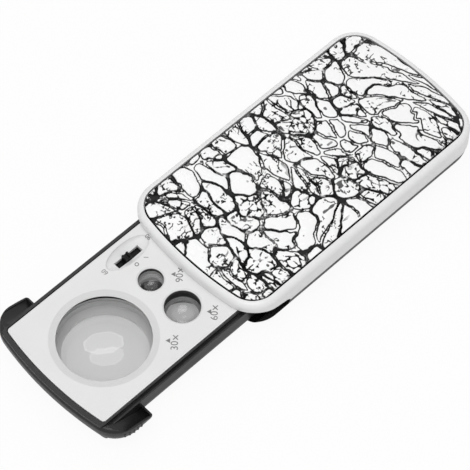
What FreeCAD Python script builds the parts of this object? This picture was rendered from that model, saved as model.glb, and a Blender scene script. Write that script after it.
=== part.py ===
import FreeCAD, Part
import math
import os
from types import SimpleNamespace

import Sketcher

# Pocket loupe: a tray of three lenses that is pulled out of a flat two-part sleeve.
# Millimetres. +X runs from the pull to the closed end of the sleeve, +Z is up, and the
# origin is in the middle of the underside with the tray pulled out.
# Sleeve pieces are drawn from the middle of the sleeve's mouth, tray pieces from the
# front of the pull. Heights are counted from the underside in both.

SIZES = {
    # sleeve
    "case_length": 79.0,
    "case_width": 42.8,
    "case_height": 13.2,
    "case_corner": 8.0,
    "bow_radius": 90.0,
    "base_height": 7.4,
    "wall": 1.5,
    "cover_round": 1.5,
    "travel": 41.2,
    "nose_overhang": 1.3,
    "cut_overrun": 4.0,
    # panel let into the roof of the sleeve
    "panel_margin": 1.53,
    "panel_depth": 1.1,
    "panel_round": 0.3,
    "panel_gap": 0.2,
    # wave cut into the sides of the cover
    "wave_start": 3.1,
    "wave_slope_start": 7.1,
    "wave_slope_start_drop": 0.6,
    "wave_slope_end": 12.25,
    "wave_slope_end_drop": 1.8,
    "wave_end": 13.6,
    "wave_end_drop": 2.8,
    "wave_top_radius": 20.0,
    "wave_end_radius": 2.2,
    # base of the sleeve
    "base_inset": 0.2,
    "base_setback": 0.7,
    "base_round": 7.0,
    "base_floor": 1.5,
    "ear_pocket_floor": 4.6,
    "ear_pocket_end": 13.6,
    "side_rail_bottom": 4.8,
    "side_rail_short": 9.0,
    "runner_width": 1.6,
    "runner_spacing": 19.0,
    "runner_start": 12.0,
    "runner_end": 70.0,
    # battery door
    "door_front": 38.6,
    "door_length": 32.2,
    "door_width": 13.6,
    "door_depth": 0.85,
    "door_gap": 0.12,
    "door_slide": 3.4,
    "door_block_start": 44.0,
    "door_block_length": 22.0,
    "door_block_rise": 0.6,
    "hatch_edge": 1.5,
    "grip_width": 1.0,
    "grip_count": 3,
    "grip_pitch": 1.8,
    "grip_depth": 0.35,
    # tray
    "tray_length": 73.4,
    "tray_top": 10.3,
    "tray_height": 8.4,
    "ear_room": 3.7,
    "tray_round": 4.3,
    "tray_floor": 1.2,
    "tray_side_wall": 2.5,
    "tray_end_wall": 1.7,
    "hull_start": 3.0,
    "ledge_width": 0.85,
    "ledge_depth": 1.0,
    "rim_side": 0.4,
    "rim_front": 1.15,
    "rim_setback": 0.3,
    "rim_corner": 1.2,
    "seat_corner": 1.1,
    "slide_gap": 0.15,
    "roof_gap": 0.2,
    "stop_gap": 0.6,
    "rail_gap": 0.1,
    # pull with its two hooked ears
    "pull_inset": 0.1,
    "pull_corner": 7.0,
    "pull_drop": 0.6,
    "pull_round": 6.0,
    "pull_shoulder": 1.1,
    "nose_depth": 4.2,
    "ear_length": 13.4,
    "ear_bottom": 4.8,
    "ear_wall": 0.5,
    "ear_back_wall": 0.5,
    "ear_back_round": 0.7,
    "ear_slope_start": 3.6,
    "ear_slope_start_drop": 0.75,
    "ear_slope_end_drop": 3.4,
    "ear_slope_radius": 60.0,
    "ear_scoop_start": 4.6,
    "ear_scoop_start_drop": 1.05,
    "ear_scoop_inner_drop": 4.7,
    "ear_scoop_outer_drop": 3.5,
    "ear_scoop_radius": 4.0,
    "ear_rib_count": 5,
    "ear_rib_radius": 0.3,
    "ear_rib_sink": 0.2,
    "ear_rib_pitch": 1.1,
    "ear_rib_start": 5.4,
    "ear_rib_bottom": 6.5,
    "ear_rib_top": 7.6,
    # faceplate
    "face_thickness": 1.2,
    "face_gap": 0.25,
    "boss_radius": 1.6,
    "boss_bore": 0.65,
    "boss_bore_depth": 4.0,
    "boss_foot_gap": 0.1,
    "front_screw": 7.0,
    "rear_screw": 70.0,
    "screw_inset": 3.2,
    # switch dish in the faceplate
    "dish_place": 36.6,
    "dish_inset": 2.9,
    "dish_length": 12.6,
    "dish_width": 5.6,
    "dish_depth": 1.3,
    "dish_skin": 0.7,
    "slot_front": 32.7,
    "slot_length": 7.3,
    "slot_inset": 3.35,
    "slot_width": 1.9,
    "slot_margin": 0.9,
    # switch
    "knob_length": 1.8,
    "knob_width": 1.6,
    "knob_rise": 0.1,
    "knob_rest": 35.85,
    "knob_notch": 0.6,
    "knob_notch_depth": 0.4,
    "knob_plate_length": 11.4,
    "knob_plate_width": 3.0,
    "knob_plate": 0.5,
    "knob_peg": 0.8,
    "knob_peg_depth": 0.6,
    "knob_travel": 2.0,
    "switch_length": 8.6,
    "switch_width": 4.4,
    "switch_gap": 0.12,
    # 30x lens
    "big_side": 0.5,
    "big_hole": 11.0,
    "big_bevel": 1.6,
    "big_bevel_depth": 0.2,
    "big_lip": 0.2,
    "big_relief": 1.4,
    "big_lens_overlap": 1.45,
    "big_lens_bottom": 3.0,
    "big_lens_edge": 1.2,
    "big_lens_top_curve": 50.0,
    "big_lens_bottom_curve": 110.0,
    "big_barrel_wall": 0.45,
    "big_barrel_top": 6.0,
    "big_flange_width": 0.4,
    "big_flange_height": 0.8,
    "big_flange_play": 1.15,
    "big_window_inset": 1.0,
    "big_ring_width": 0.45,
    # 60x lens
    "mid_place": 35.96,
    "mid_side": 6.75,
    "mid_hole": 4.21,
    "mid_bevel": 0.45,
    "mid_lens": 4.5,
    "mid_lens_bottom": 5.4,
    "mid_lens_edge": 1.4,
    "mid_lens_curve": 9.0,
    "mid_barrel": 5.0,
    "mid_window": 3.6,
    # 90x lens
    "small_place": 35.59,
    "small_side": 3.4,
    "small_hole": 2.95,
    "small_bevel": 0.4,
    "small_lens": 3.3,
    "small_lens_bottom": 6.0,
    "small_lens_edge": 1.3,
    "small_lens_curve": 6.0,
    "small_barrel": 4.0,
    "small_window": 2.4,
    "small_bevel_depth": 0.3,
    "barrel_gap": 0.1,
    "lens_gap": 0.05,
    # lamps
    "lamp_radius": 1.5,
    "lamp_flange": 1.9,
    "lamp_flange_height": 0.7,
    "lamp_dome": 0.6,
    "lamp_hole_gap": 0.1,
    "lamp_place": 31.4,
    "white_lamp_inset": 6.3,
    "ultraviolet_lamp_inset": 2.15,
    "lower_lamp_inset": 2.9,
    # circuit board
    "board_front": 29.4,
    "board_length": 38.8,
    "board_width": 7.4,
    "board_gap": 0.2,
    "board_thickness": 1.0,
    "board_rib": 1.2,
    "board_rise": 0.85,
    # button cells in the battery bay
    "cell_radius": 4.75,
    "cell_height": 2.7,
    "cell_cap": 3.6,
    "cell_cap_rise": 0.25,
    "cell_first": 46.8,
    "cell_pitch": 9.6,
    "cell_bottom": 2.3,
    "bay_gap": 0.15,
    "bay_wall": 0.8,
    # contacts
    "strip": 0.15,
    "strip_width": 2.8,
    "strip_rise": 0.05,
    "strip_edge": 0.9,
    "strip_tab": 2.0,
    # screws
    "screw_head": 1.3,
    "screw_head_depth": 0.7,
    "screw_shank": 0.6,
    "screw_length": 4.2,
    "screw_slot": 0.4,
    "screw_clearance": 0.9,
}


class Length:
    """A number together with the sheet formula that it comes from."""

    def __init__(self, value, formula):
        self.value = value
        self.formula = formula

    def __add__(self, other):
        other = as_length(other)
        return Length(self.value + other.value, f"({self.formula} + {other.formula})")

    def __sub__(self, other):
        other = as_length(other)
        return Length(self.value - other.value, f"({self.formula} - {other.formula})")

    def __mul__(self, other):
        other = as_length(other)
        return Length(self.value * other.value, f"({self.formula} * {other.formula})")

    def __truediv__(self, other):
        other = as_length(other)
        return Length(self.value / other.value, f"({self.formula} / {other.formula})")

    def __rmul__(self, other):
        return as_length(other) * self

    def __neg__(self):
        return as_length(0) - self


def as_length(number):
    """Counts and zero may join a formula as they are."""
    if isinstance(number, Length):
        return number
    return Length(float(number), f"{float(number)}")


def root(length):
    return Length(math.sqrt(length.value), f"sqrt({length.formula})")


ZERO = as_length(0)
S = SimpleNamespace(**{name: Length(value, f"Sizes.{name}") for name, value in SIZES.items()})

doc = FreeCAD.newDocument("PocketLoupe")


def fill_sheet():
    """The driving dimensions, one row each, with the name beside the number."""
    sheet = doc.addObject("Spreadsheet::Sheet", "Sizes")
    for row, (name, value) in enumerate(SIZES.items(), start=1):
        sheet.set(f"A{row}", name)
        sheet.set(f"B{row}", str(value))
        sheet.setAlias(f"B{row}", name)
    doc.recompute()


# Bodies, sketches and constraints

def new_body(name):
    return doc.addObject("PartDesign::Body", name)


def drive(thing, prop, length):
    """Bind one property to the sheet."""
    thing.setExpression(prop, length.formula)


def new_sketch(body, role, name, offset=ZERO):
    """A sketch on one of the body's own planes, moved along the plane's normal."""
    sketch = body.newObject("Sketcher::SketchObject", name)
    plane = next(item for item in body.Origin.OriginFeatures if item.Role == role)
    sketch.AttachmentSupport = (plane, [""])
    sketch.MapMode = "FlatFace"
    drive(sketch, ".AttachmentOffset.Base.z", offset)
    return sketch


def rule(sketch, kind, length, *places):
    """A constraint whose size comes from the sheet."""
    index = sketch.addConstraint(Sketcher.Constraint(kind, *places, length.value))
    drive(sketch, f"Constraints[{index}]", length)


def pin(sketch, edge, end, x, y):
    """Hold one end or centre at its distances from the sketch's origin."""
    rule(sketch, "DistanceX", x, -1, 1, edge, end)
    rule(sketch, "DistanceY", y, -1, 1, edge, end)


def point(x, y):
    return FreeCAD.Vector(x, y, 0)


def arc_between(start, end, radius, left):
    """The short arc from start to end, with its centre on the left or the right."""
    chord = end - start
    middle = (start + end) / 2
    rise = math.sqrt(max(radius ** 2 - (chord.Length / 2) ** 2, 0))
    aside = point(-chord.y, chord.x).normalize() * rise
    centre = middle + aside if left else middle - aside
    first, last = (start, end) if left else (end, start)
    angles = [math.atan2(spot.y - centre.y, spot.x - centre.x) for spot in (first, last)]
    circle = Part.Circle(centre, FreeCAD.Vector(0, 0, 1), radius)
    return Part.ArcOfCircle(circle, *angles)


def outline(sketch, corners, arcs=None):
    """A closed outline through the corners. arcs maps a side to (radius, centre on the left)."""
    arcs = arcs or {}
    spots = [point(x.value, y.value) for x, y in corners]
    count = len(spots)
    ends = []
    for side in range(count):
        start, end = spots[side], spots[(side + 1) % count]
        if side in arcs:
            radius, left = arcs[side]
            edge = sketch.addGeometry(arc_between(start, end, radius.value, left))
            ends.append((edge, 1, 2) if left else (edge, 2, 1))
        else:
            edge = sketch.addGeometry(Part.LineSegment(start, end))
            ends.append((edge, 1, 2))
    for side in range(count):
        edge, _, last = ends[side]
        following, first, _ = ends[(side + 1) % count]
        sketch.addConstraint(Sketcher.Constraint("Coincident", edge, last, following, first))
    for side, (x, y) in enumerate(corners):
        edge, first, _ = ends[side]
        pin(sketch, edge, first, x, y)
    for side, (radius, _) in arcs.items():
        rule(sketch, "Radius", radius, ends[side][0])


def rectangle(sketch, left, right, low, high):
    outline(sketch, [(left, low), (right, low), (right, high), (left, high)])


def circle(sketch, x, y, radius):
    edge = sketch.addGeometry(Part.Circle(point(x.value, y.value), FreeCAD.Vector(0, 0, 1), radius.value))
    pin(sketch, edge, 3, x, y)
    rule(sketch, "Radius", radius, edge)


def bowed_outline(sketch, front, rear, half_width, corner, bow, square_front=False, square_rear=False):
    """Straight sides and gently bowed ends with round corners, or square ends where asked."""
    reach = root((bow - corner) * (bow - corner) - (half_width - corner) * (half_width - corner))
    along = reach.value * bow.value / (bow.value - corner.value)
    aside = (half_width.value - corner.value) * bow.value / (bow.value - corner.value)
    width = half_width.value
    loop = []

    def end_of(apex, sign, square):
        """Spots and pieces of one end, in the order of a walk against the clock."""
        if square:
            return [(apex.value, -sign * width), (apex.value, sign * width)], ["line"]
        centre = apex.value - sign * bow.value
        corner_centre = centre + sign * reach.value
        spots = [
            (corner_centre, -sign * width),
            (centre + sign * along, -sign * aside),
            (centre + sign * along, sign * aside),
            (corner_centre, sign * width),
        ]
        return spots, ["corner", "bow", "corner"]

    for apex, sign, square in ((rear, 1, square_rear), (front, -1, square_front)):
        spots, kinds = end_of(apex, sign, square)
        radii = {"corner": corner.value, "bow": bow.value}
        for kind, start, end in zip(kinds, spots, spots[1:]):
            if kind == "line":
                loop.append((kind, Part.LineSegment(point(*start), point(*end)), apex, sign))
            else:
                loop.append((kind, arc_between(point(*start), point(*end), radii[kind], True), apex, sign))
        loop.append(("side", spots[-1], sign * half_width, sign))

    starts = {1: None, -1: None}
    for sign, apex, square in ((1, rear, square_rear), (-1, front, square_front)):
        starts[sign] = end_of(apex, sign, square)[0][0]
    edges = []
    for kind, shape, size, sign in loop:
        if kind == "side":
            shape = Part.LineSegment(point(*shape), point(*starts[-sign]))
        edges.append((sketch.addGeometry(shape), kind, size, sign))

    for (edge, kind, _, _), (following, following_kind, _, _) in zip(edges, edges[1:] + edges[:1]):
        meeting = "Coincident" if "line" in (kind, following_kind) else "Tangent"
        sketch.addConstraint(Sketcher.Constraint(meeting, edge, 2, following, 1))
    for edge, kind, size, sign in edges:
        if kind == "side":
            sketch.addConstraint(Sketcher.Constraint("Horizontal", edge))
            rule(sketch, "DistanceY", size, -1, 1, edge, 1)
        elif kind == "line":
            sketch.addConstraint(Sketcher.Constraint("Vertical", edge))
            rule(sketch, "DistanceX", size, -1, 1, edge, 1)
        elif kind == "corner":
            rule(sketch, "Radius", corner, edge)
        else:
            rule(sketch, "Radius", bow, edge)
            pin(sketch, edge, 3, size - sign * bow, ZERO)


# Features

def pad(body, sketch, length, down=False):
    feature = body.newObject("PartDesign::Pad", f"{sketch.Name}Pad")
    feature.Profile = sketch
    feature.Reversed = down
    drive(feature, "Length", length)
    doc.recompute()
    return feature


def check_cut(feature, before):
    """A cut that points away from the solid takes nothing off it, which is a mistake."""
    doc.recompute()
    if not feature.Shape.Volume < before:
        raise RuntimeError(f"{feature.Name} cuts nothing")
    return feature


def pocket(body, sketch, depth, up=False):
    """Cut against the sketch's normal, or along it where up is set."""
    before = body.Shape.Volume
    feature = body.newObject("PartDesign::Pocket", f"{sketch.Name}Pocket")
    feature.Profile = sketch
    feature.Reversed = up
    drive(feature, "Length", depth)
    return check_cut(feature, before)


def pocket_both_ways(body, sketch):
    before = body.Shape.Volume
    feature = body.newObject("PartDesign::Pocket", f"{sketch.Name}Pocket")
    feature.Profile = sketch
    feature.Type = "ThroughAll"
    feature.SideType = "Symmetric"
    return check_cut(feature, before)


def soften(body, kind, radius, chosen):
    """Fillet or chamfer the edges of the body's last shape that chosen accepts."""
    tip = body.Tip
    names = [f"Edge{number}" for number, edge in enumerate(tip.Shape.Edges, start=1) if chosen(edge)]
    feature = body.newObject(f"PartDesign::{kind}", f"{body.Name}{kind}")
    feature.Base = (tip, names)
    drive(feature, "Radius" if kind == "Fillet" else "Size", radius)
    doc.recompute()
    return feature


def cut_with(body, tool):
    """Take a whole tool body away from a body."""
    before = body.Shape.Volume
    feature = body.newObject("PartDesign::Boolean", f"{tool.Name}Cut")
    feature.setObjects([tool])
    feature.Type = "Cut"
    return check_cut(feature, before)


TOUCH = 1e-4


def at_height(edge, height):
    """True for an edge that lies wholly at one height."""
    box = edge.BoundBox
    return abs(box.ZMin - height.value) < TOUCH and abs(box.ZMax - height.value) < TOUCH


def turned(name, profile, x, y, arcs=None):
    """A piece turned about a vertical axis at (x, y); the profile is in radius and height."""
    body = new_body(name)
    sketch = new_sketch(body, "XZ_Plane", f"{name}Profile")
    outline(sketch, profile, arcs)
    feature = body.newObject("PartDesign::Revolution", f"{name}Turn")
    feature.Profile = sketch
    feature.ReferenceAxis = (sketch, ["V_Axis"])
    drive(body, ".Placement.Base.x", TRAY_X + x)
    drive(body, ".Placement.Base.y", y)
    doc.recompute()
    return body


def placed(body, label, x):
    body.Label = label
    drive(body, ".Placement.Base.x", x)
    return body


# Places that several pieces share

OVERALL = S.case_length + S.nose_overhang + S.travel
SLEEVE_X = OVERALL / 2 - S.case_length
TRAY_X = -OVERALL / 2
CASE_HALF = S.case_width / 2
CAVITY_HALF = CASE_HALF - S.wall
CAVITY_REAR = S.case_length - S.wall
CAVITY_CORNER = S.case_corner - S.wall
CAVITY_BOW = S.bow_radius - S.wall
ROOF = S.tray_top + S.roof_gap
STOP = S.tray_length - S.nose_overhang + S.stop_gap
PULL_HALF = CASE_HALF - S.pull_inset
TRAY_HALF = CASE_HALF - S.ear_room
RIM_HALF = TRAY_HALF - S.ledge_width
HOLLOW_HALF = TRAY_HALF - S.tray_side_wall
TRAY_BOTTOM = S.tray_top - S.tray_height
TRAY_LEDGE = S.tray_top - S.ledge_depth
FLOOR_TOP = TRAY_BOTTOM + S.tray_floor
FACE_BOTTOM = S.tray_top - S.face_thickness
GUIDE_HALF = TRAY_HALF + S.slide_gap
BIG_LENS = S.big_hole + S.big_lens_overlap
BIG_BARREL = BIG_LENS + S.big_barrel_wall
BIG_FLANGE = BIG_BARREL + S.big_flange_width
HOLLOW_FRONT = S.rim_setback + S.rim_front + S.tray_end_wall
BIG_PLACE = HOLLOW_FRONT + S.big_flange_play + BIG_FLANGE
DISH_SIDE = HOLLOW_HALF - S.dish_inset
SLOT_SIDE = HOLLOW_HALF - S.slot_inset
WHITE_LAMP_SIDE = HOLLOW_HALF - S.white_lamp_inset
ULTRAVIOLET_LAMP_SIDE = HOLLOW_HALF - S.ultraviolet_lamp_inset
LOWER_LAMP_SIDE = HOLLOW_HALF - S.lower_lamp_inset
BOARD_SIDE = HOLLOW_HALF - S.board_gap - S.board_width
DOOR_END = S.door_front + S.door_length
DOOR_HALF = S.door_width / 2
BAY_FRONT = S.cell_first - S.cell_radius - S.bay_gap
BAY_REAR = S.cell_first + 2 * S.cell_pitch + S.cell_radius + S.bay_gap
BAY_HALF = S.cell_radius + S.bay_gap
CELL_TOP = S.cell_bottom + S.cell_height
BOARD_BOTTOM = FLOOR_TOP + S.board_rise
BOARD_TOP = BOARD_BOTTOM + S.board_thickness
DISH_UNDERSIDE = S.tray_top - S.dish_depth - S.dish_skin
SCREW_SIDE = HOLLOW_HALF - S.screw_inset
SCREW_PLACES = [
    (S.front_screw, SCREW_SIDE),
    (S.front_screw, -SCREW_SIDE),
    (S.rear_screw, SCREW_SIDE),
    (S.rear_screw, -SCREW_SIDE),
]


# Sleeve

def make_sleeve_cover():
    """White upper shell: roof with a recess for the panel, waved sides, rails over the tray's ledge."""
    body = new_body("SleeveCover")
    shell = new_sketch(body, "XY_Plane", "CoverShell", S.base_height)
    bowed_outline(shell, ZERO, S.case_length, CASE_HALF, S.case_corner, S.bow_radius)
    pad(body, shell, S.case_height - S.base_height)
    soften(body, "Fillet", S.cover_round, lambda edge: at_height(edge, S.case_height))

    mouth = -S.cut_overrun
    hollow = new_sketch(body, "XY_Plane", "CoverHollow", S.base_height)
    bowed_outline(hollow, mouth, CAVITY_REAR, CAVITY_HALF, CAVITY_CORNER, CAVITY_BOW, square_front=True)
    pocket(body, hollow, TRAY_LEDGE + S.rail_gap - S.base_height, up=True)
    channel = new_sketch(body, "XY_Plane", "CoverChannel", S.base_height)
    rectangle(channel, mouth, STOP, -(RIM_HALF + S.slide_gap), RIM_HALF + S.slide_gap)
    pocket(body, channel, ROOF - S.base_height, up=True)

    wave = new_sketch(body, "XZ_Plane", "CoverWave")
    top = ROOF
    corners = [
        (mouth, S.base_height - S.cut_overrun),
        (S.wave_end, S.base_height - S.cut_overrun),
        (S.wave_end, S.tray_top - S.wave_end_drop),
        (S.wave_slope_end, S.tray_top - S.wave_slope_end_drop),
        (S.wave_slope_start, S.tray_top - S.wave_slope_start_drop),
        (S.wave_start, top),
        (mouth, top),
    ]
    outline(wave, corners, {2: (S.wave_end_radius, True), 4: (S.wave_top_radius, True)})
    pocket_both_ways(body, wave)

    recess = new_sketch(body, "XY_Plane", "PanelRecess", S.case_height)
    panel_outline(recess, ZERO)
    pocket(body, recess, S.panel_depth)
    return placed(body, "sleeve_cover", SLEEVE_X)


def panel_outline(sketch, gap):
    """The inlaid panel's outline, drawn in by a gap."""
    inset = S.panel_margin + gap
    bowed_outline(
        sketch,
        inset,
        S.case_length - inset,
        CASE_HALF - inset,
        S.case_corner - inset,
        S.bow_radius - inset,
    )


def make_sleeve_panel():
    """Thin decorated plate that lies in the cover's recess."""
    body = new_body("SleevePanel")
    plate = new_sketch(body, "XY_Plane", "PanelPlate", S.case_height - S.panel_depth)
    panel_outline(plate, S.panel_gap)
    pad(body, plate, S.panel_depth)
    soften(body, "Fillet", S.panel_round, lambda edge: at_height(edge, S.case_height))
    return placed(body, "sleeve_panel", SLEEVE_X)


def make_sleeve_base():
    """Black lower shell: rounded underside, side rails, runners, ear pockets and the battery hatch."""
    body = new_body("SleeveBase")
    shell = new_sketch(body, "XY_Plane", "BaseShell")
    bowed_outline(
        shell,
        S.base_setback,
        S.case_length - S.base_inset,
        CASE_HALF - S.base_inset,
        S.case_corner - S.base_inset,
        S.bow_radius - S.base_inset,
    )
    pad(body, shell, S.base_height)
    soften(body, "Fillet", S.base_round, lambda edge: at_height(edge, ZERO))

    cut_with(body, base_hollow())

    for name, sign in (("LeftEarPocket", 1), ("RightEarPocket", -1)):
        ear_pocket = new_sketch(body, "XY_Plane", name, S.ear_pocket_floor)
        inner, outer = sign * GUIDE_HALF, sign * (CASE_HALF + S.cut_overrun)
        rectangle(ear_pocket, -S.cut_overrun, S.ear_pocket_end, inner, outer)
        pocket(body, ear_pocket, S.base_height, up=True)

    rail_top = TRAY_LEDGE - S.rail_gap
    for name, sign in (("LeftRail", 1), ("RightRail", -1)):
        rail = new_sketch(body, "XY_Plane", name, S.side_rail_bottom)
        rail_front = S.ear_pocket_end + S.slide_gap
        rail_rear = S.case_length - S.side_rail_short
        rectangle(rail, rail_front, rail_rear, sign * GUIDE_HALF, sign * (CAVITY_HALF - S.base_inset))
        pad(body, rail, rail_top - S.side_rail_bottom)

    runners = new_sketch(body, "XY_Plane", "Runners", S.base_floor)
    for sign in (1, -1):
        middle = sign * S.runner_spacing / 2
        rectangle(runners, S.runner_start, S.runner_end, middle - S.runner_width / 2, middle + S.runner_width / 2)
    pad(body, runners, TRAY_BOTTOM - S.rail_gap - S.base_floor)

    door_recess = new_sketch(body, "XY_Plane", "DoorRecess")
    gap = S.door_gap
    rectangle(door_recess, S.door_front - S.door_slide - gap, DOOR_END + gap, -DOOR_HALF - gap, DOOR_HALF + gap)
    pocket(body, door_recess, S.door_depth, up=True)
    hatch = new_sketch(body, "XY_Plane", "Hatch")
    edge = S.hatch_edge
    rectangle(hatch, S.door_front + edge, DOOR_END - edge, -DOOR_HALF + edge, DOOR_HALF - edge)
    pocket(body, hatch, 2 * S.base_floor, up=True)
    return placed(body, "sleeve_base", SLEEVE_X)


def base_hollow():
    """The room inside the base, rounded below like the shell round it and open at the mouth."""
    tool = new_body("BaseHollow")
    inset = S.base_inset + S.wall
    hollow = new_sketch(tool, "XY_Plane", "HollowShape", S.base_floor)
    bowed_outline(
        hollow,
        -S.cut_overrun,
        S.case_length - inset,
        CASE_HALF - inset,
        S.case_corner - inset,
        S.bow_radius - inset,
        square_front=True,
    )
    pad(tool, hollow, S.base_height)

    def is_rounded(edge):
        return at_height(edge, S.base_floor) and edge.BoundBox.XMax > TOUCH

    soften(tool, "Fillet", S.base_round - S.wall, is_rounded)
    return tool


def make_battery_door():
    """Sliding plate in the underside, with a locating block above and grip grooves below."""
    body = new_body("BatteryDoor")
    plate = new_sketch(body, "XY_Plane", "DoorPlate", S.door_gap)
    rectangle(plate, S.door_front, DOOR_END, -DOOR_HALF, DOOR_HALF)
    pad(body, plate, S.door_depth - 2 * S.door_gap)
    block = new_sketch(body, "XY_Plane", "DoorBlock", S.door_depth - S.door_gap)
    half = DOOR_HALF - S.hatch_edge - S.door_gap
    rectangle(block, S.door_block_start, S.door_block_start + S.door_block_length, -half, half)
    pad(body, block, S.door_block_rise)
    grips = new_sketch(body, "XY_Plane", "DoorGrips", S.door_gap)
    for step in range(int(SIZES["grip_count"])):
        start = S.door_front + (step + 1) * S.grip_pitch
        rectangle(grips, start, start + S.grip_width, -half, half)
    pocket(body, grips, S.grip_depth, up=True)
    return placed(body, "battery_door", SLEEVE_X)


# Tray

def make_drawer_tray():
    """Black tray: hull, stepped rim, pull with hooked ears, openings and mounts inside."""
    body = new_body("DrawerTray")
    add_pull(body)
    add_hull(body)
    cut_tray_inside(body)
    add_tray_supports(body)
    cut_tray_floor(body)
    return placed(body, "drawer_tray", TRAY_X)


def add_pull(body):
    """The rounded pull, its sloping ears, their scoops and the grip ribs on the ears."""
    top = S.tray_top - S.pull_drop
    pull = new_sketch(body, "XY_Plane", "PullShape", TRAY_BOTTOM)
    bowed_outline(pull, ZERO, S.ear_length, PULL_HALF, S.pull_corner, S.bow_radius, square_rear=True)
    pad(body, pull, top - TRAY_BOTTOM)

    def is_outer(edge, height):
        return at_height(edge, height) and edge.BoundBox.XMin < S.ear_length.value - TOUCH

    soften(body, "Fillet", S.pull_round, lambda edge: is_outer(edge, TRAY_BOTTOM))
    soften(body, "Fillet", S.pull_shoulder, lambda edge: is_outer(edge, top))

    under = new_sketch(body, "XY_Plane", "EarUnderside", TRAY_BOTTOM)
    for sign in (1, -1):
        inner, outer = sign * (TRAY_HALF - S.tray_round), sign * (PULL_HALF + S.cut_overrun)
        rectangle(under, S.nose_depth, S.ear_length + S.cut_overrun, inner, outer)
    pocket(body, under, S.ear_bottom - TRAY_BOTTOM, up=True)

    slope = new_sketch(body, "XZ_Plane", "EarSlope")
    beyond = S.ear_length + S.cut_overrun
    corners = [
        (S.ear_slope_start, S.tray_top - S.ear_slope_start_drop),
        (S.ear_length, S.tray_top - S.ear_slope_end_drop),
        (beyond, S.tray_top - S.ear_slope_end_drop),
        (beyond, S.tray_top),
        (S.ear_slope_start, S.tray_top),
    ]
    outline(slope, corners, {0: (S.ear_slope_radius, False)})
    pocket_both_ways(body, slope)

    def is_back_corner(edge):
        box = edge.BoundBox
        outside = min(abs(box.YMin), abs(box.YMax)) > TRAY_HALF.value
        return outside and box.XMin > S.ear_length.value - TOUCH and box.ZLength > S.ear_wall.value

    soften(body, "Fillet", S.ear_back_round, is_back_corner)

    for name, sign in (("LeftScoop", 1), ("RightScoop", -1)):
        cut_ear_scoop(body, name, sign)

    ribs = new_sketch(body, "XY_Plane", "EarRibs", S.ear_rib_bottom)
    bow_to_corner = S.bow_radius - S.pull_corner
    corner_y = PULL_HALF - S.pull_corner
    corner_x = S.bow_radius - root(bow_to_corner * bow_to_corner - corner_y * corner_y)
    rib_arc = S.pull_corner - S.ear_rib_sink
    for step in range(int(SIZES["ear_rib_count"])):
        x = S.ear_rib_start + step * S.ear_rib_pitch
        ahead = corner_x - x
        y = PULL_HALF - S.ear_rib_sink
        if ahead.value > 0:
            y = corner_y + root(rib_arc * rib_arc - ahead * ahead)
        for sign in (1, -1):
            circle(ribs, x, sign * y, S.ear_rib_radius)
    pad(body, ribs, S.ear_rib_top - S.ear_rib_bottom)


def cut_ear_scoop(body, name, sign):
    """The rounded hollow behind each ear's wall, deeper towards the wall at its back end."""
    outer = PULL_HALF - S.ear_wall
    above = S.tray_top + S.cut_overrun
    stations = (
        (S.ear_scoop_start, S.ear_scoop_start_drop, S.ear_scoop_start_drop),
        (S.ear_length - S.ear_back_wall, S.ear_scoop_inner_drop, S.ear_scoop_outer_drop),
    )
    sketches = []
    for number, (x, inner_drop, outer_drop) in enumerate(stations):
        section = new_sketch(body, "YZ_Plane", f"{name}Section{number}", x)
        corners = [
            (sign * TRAY_HALF, S.tray_top - inner_drop),
            (sign * outer, S.tray_top - outer_drop),
            (sign * outer, above),
            (sign * TRAY_HALF, above),
        ]
        outline(section, corners, {0: (S.ear_scoop_radius, sign > 0)})
        sketches.append(section)
    before = body.Shape.Volume
    scoop = body.newObject("PartDesign::SubtractiveLoft", f"{name}Loft")
    scoop.Profile = sketches[0]
    scoop.Sections = sketches[1:]
    scoop.Ruled = True
    check_cut(scoop, before)


def add_hull(body):
    """The tray's long body with rounded lower edges, and the rim that stands on it."""
    hull = new_sketch(body, "YZ_Plane", "HullSection", S.hull_start)
    flat = TRAY_HALF - S.tray_round
    corners = [
        (-flat, TRAY_BOTTOM),
        (flat, TRAY_BOTTOM),
        (TRAY_HALF, TRAY_BOTTOM + S.tray_round),
        (TRAY_HALF, TRAY_LEDGE),
        (-TRAY_HALF, TRAY_LEDGE),
        (-TRAY_HALF, TRAY_BOTTOM + S.tray_round),
    ]
    outline(hull, corners, {1: (S.tray_round, True), 5: (S.tray_round, True)})
    pad(body, hull, S.tray_length - S.hull_start)
    rim = new_sketch(body, "XY_Plane", "RimShape", TRAY_LEDGE)
    bowed_outline(
        rim, S.rim_setback, S.tray_length, RIM_HALF, S.rim_corner, S.bow_radius, square_rear=True
    )
    pad(body, rim, S.ledge_depth)


def face_outline(sketch, gap):
    """The faceplate's outline inside the rim, drawn in by a gap."""
    front = S.rim_setback + S.rim_front + gap
    rear = S.tray_length - S.rim_front - gap
    half = RIM_HALF - S.rim_side - gap
    bowed_outline(sketch, front, rear, half, S.seat_corner - gap, S.bow_radius, square_rear=True)


def cut_tray_inside(body):
    """The shallow seat for the faceplate, and the hollow under it."""
    seat = new_sketch(body, "XY_Plane", "FaceSeat", S.tray_top)
    face_outline(seat, ZERO)
    pocket(body, seat, S.face_thickness)
    hollow = new_sketch(body, "XY_Plane", "TrayHollow", FACE_BOTTOM)
    rear = S.tray_length - S.tray_end_wall
    bowed_outline(
        hollow, HOLLOW_FRONT, rear, HOLLOW_HALF, S.seat_corner, S.bow_radius, square_rear=True
    )
    pocket(body, hollow, FACE_BOTTOM - FLOOR_TOP)


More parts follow.
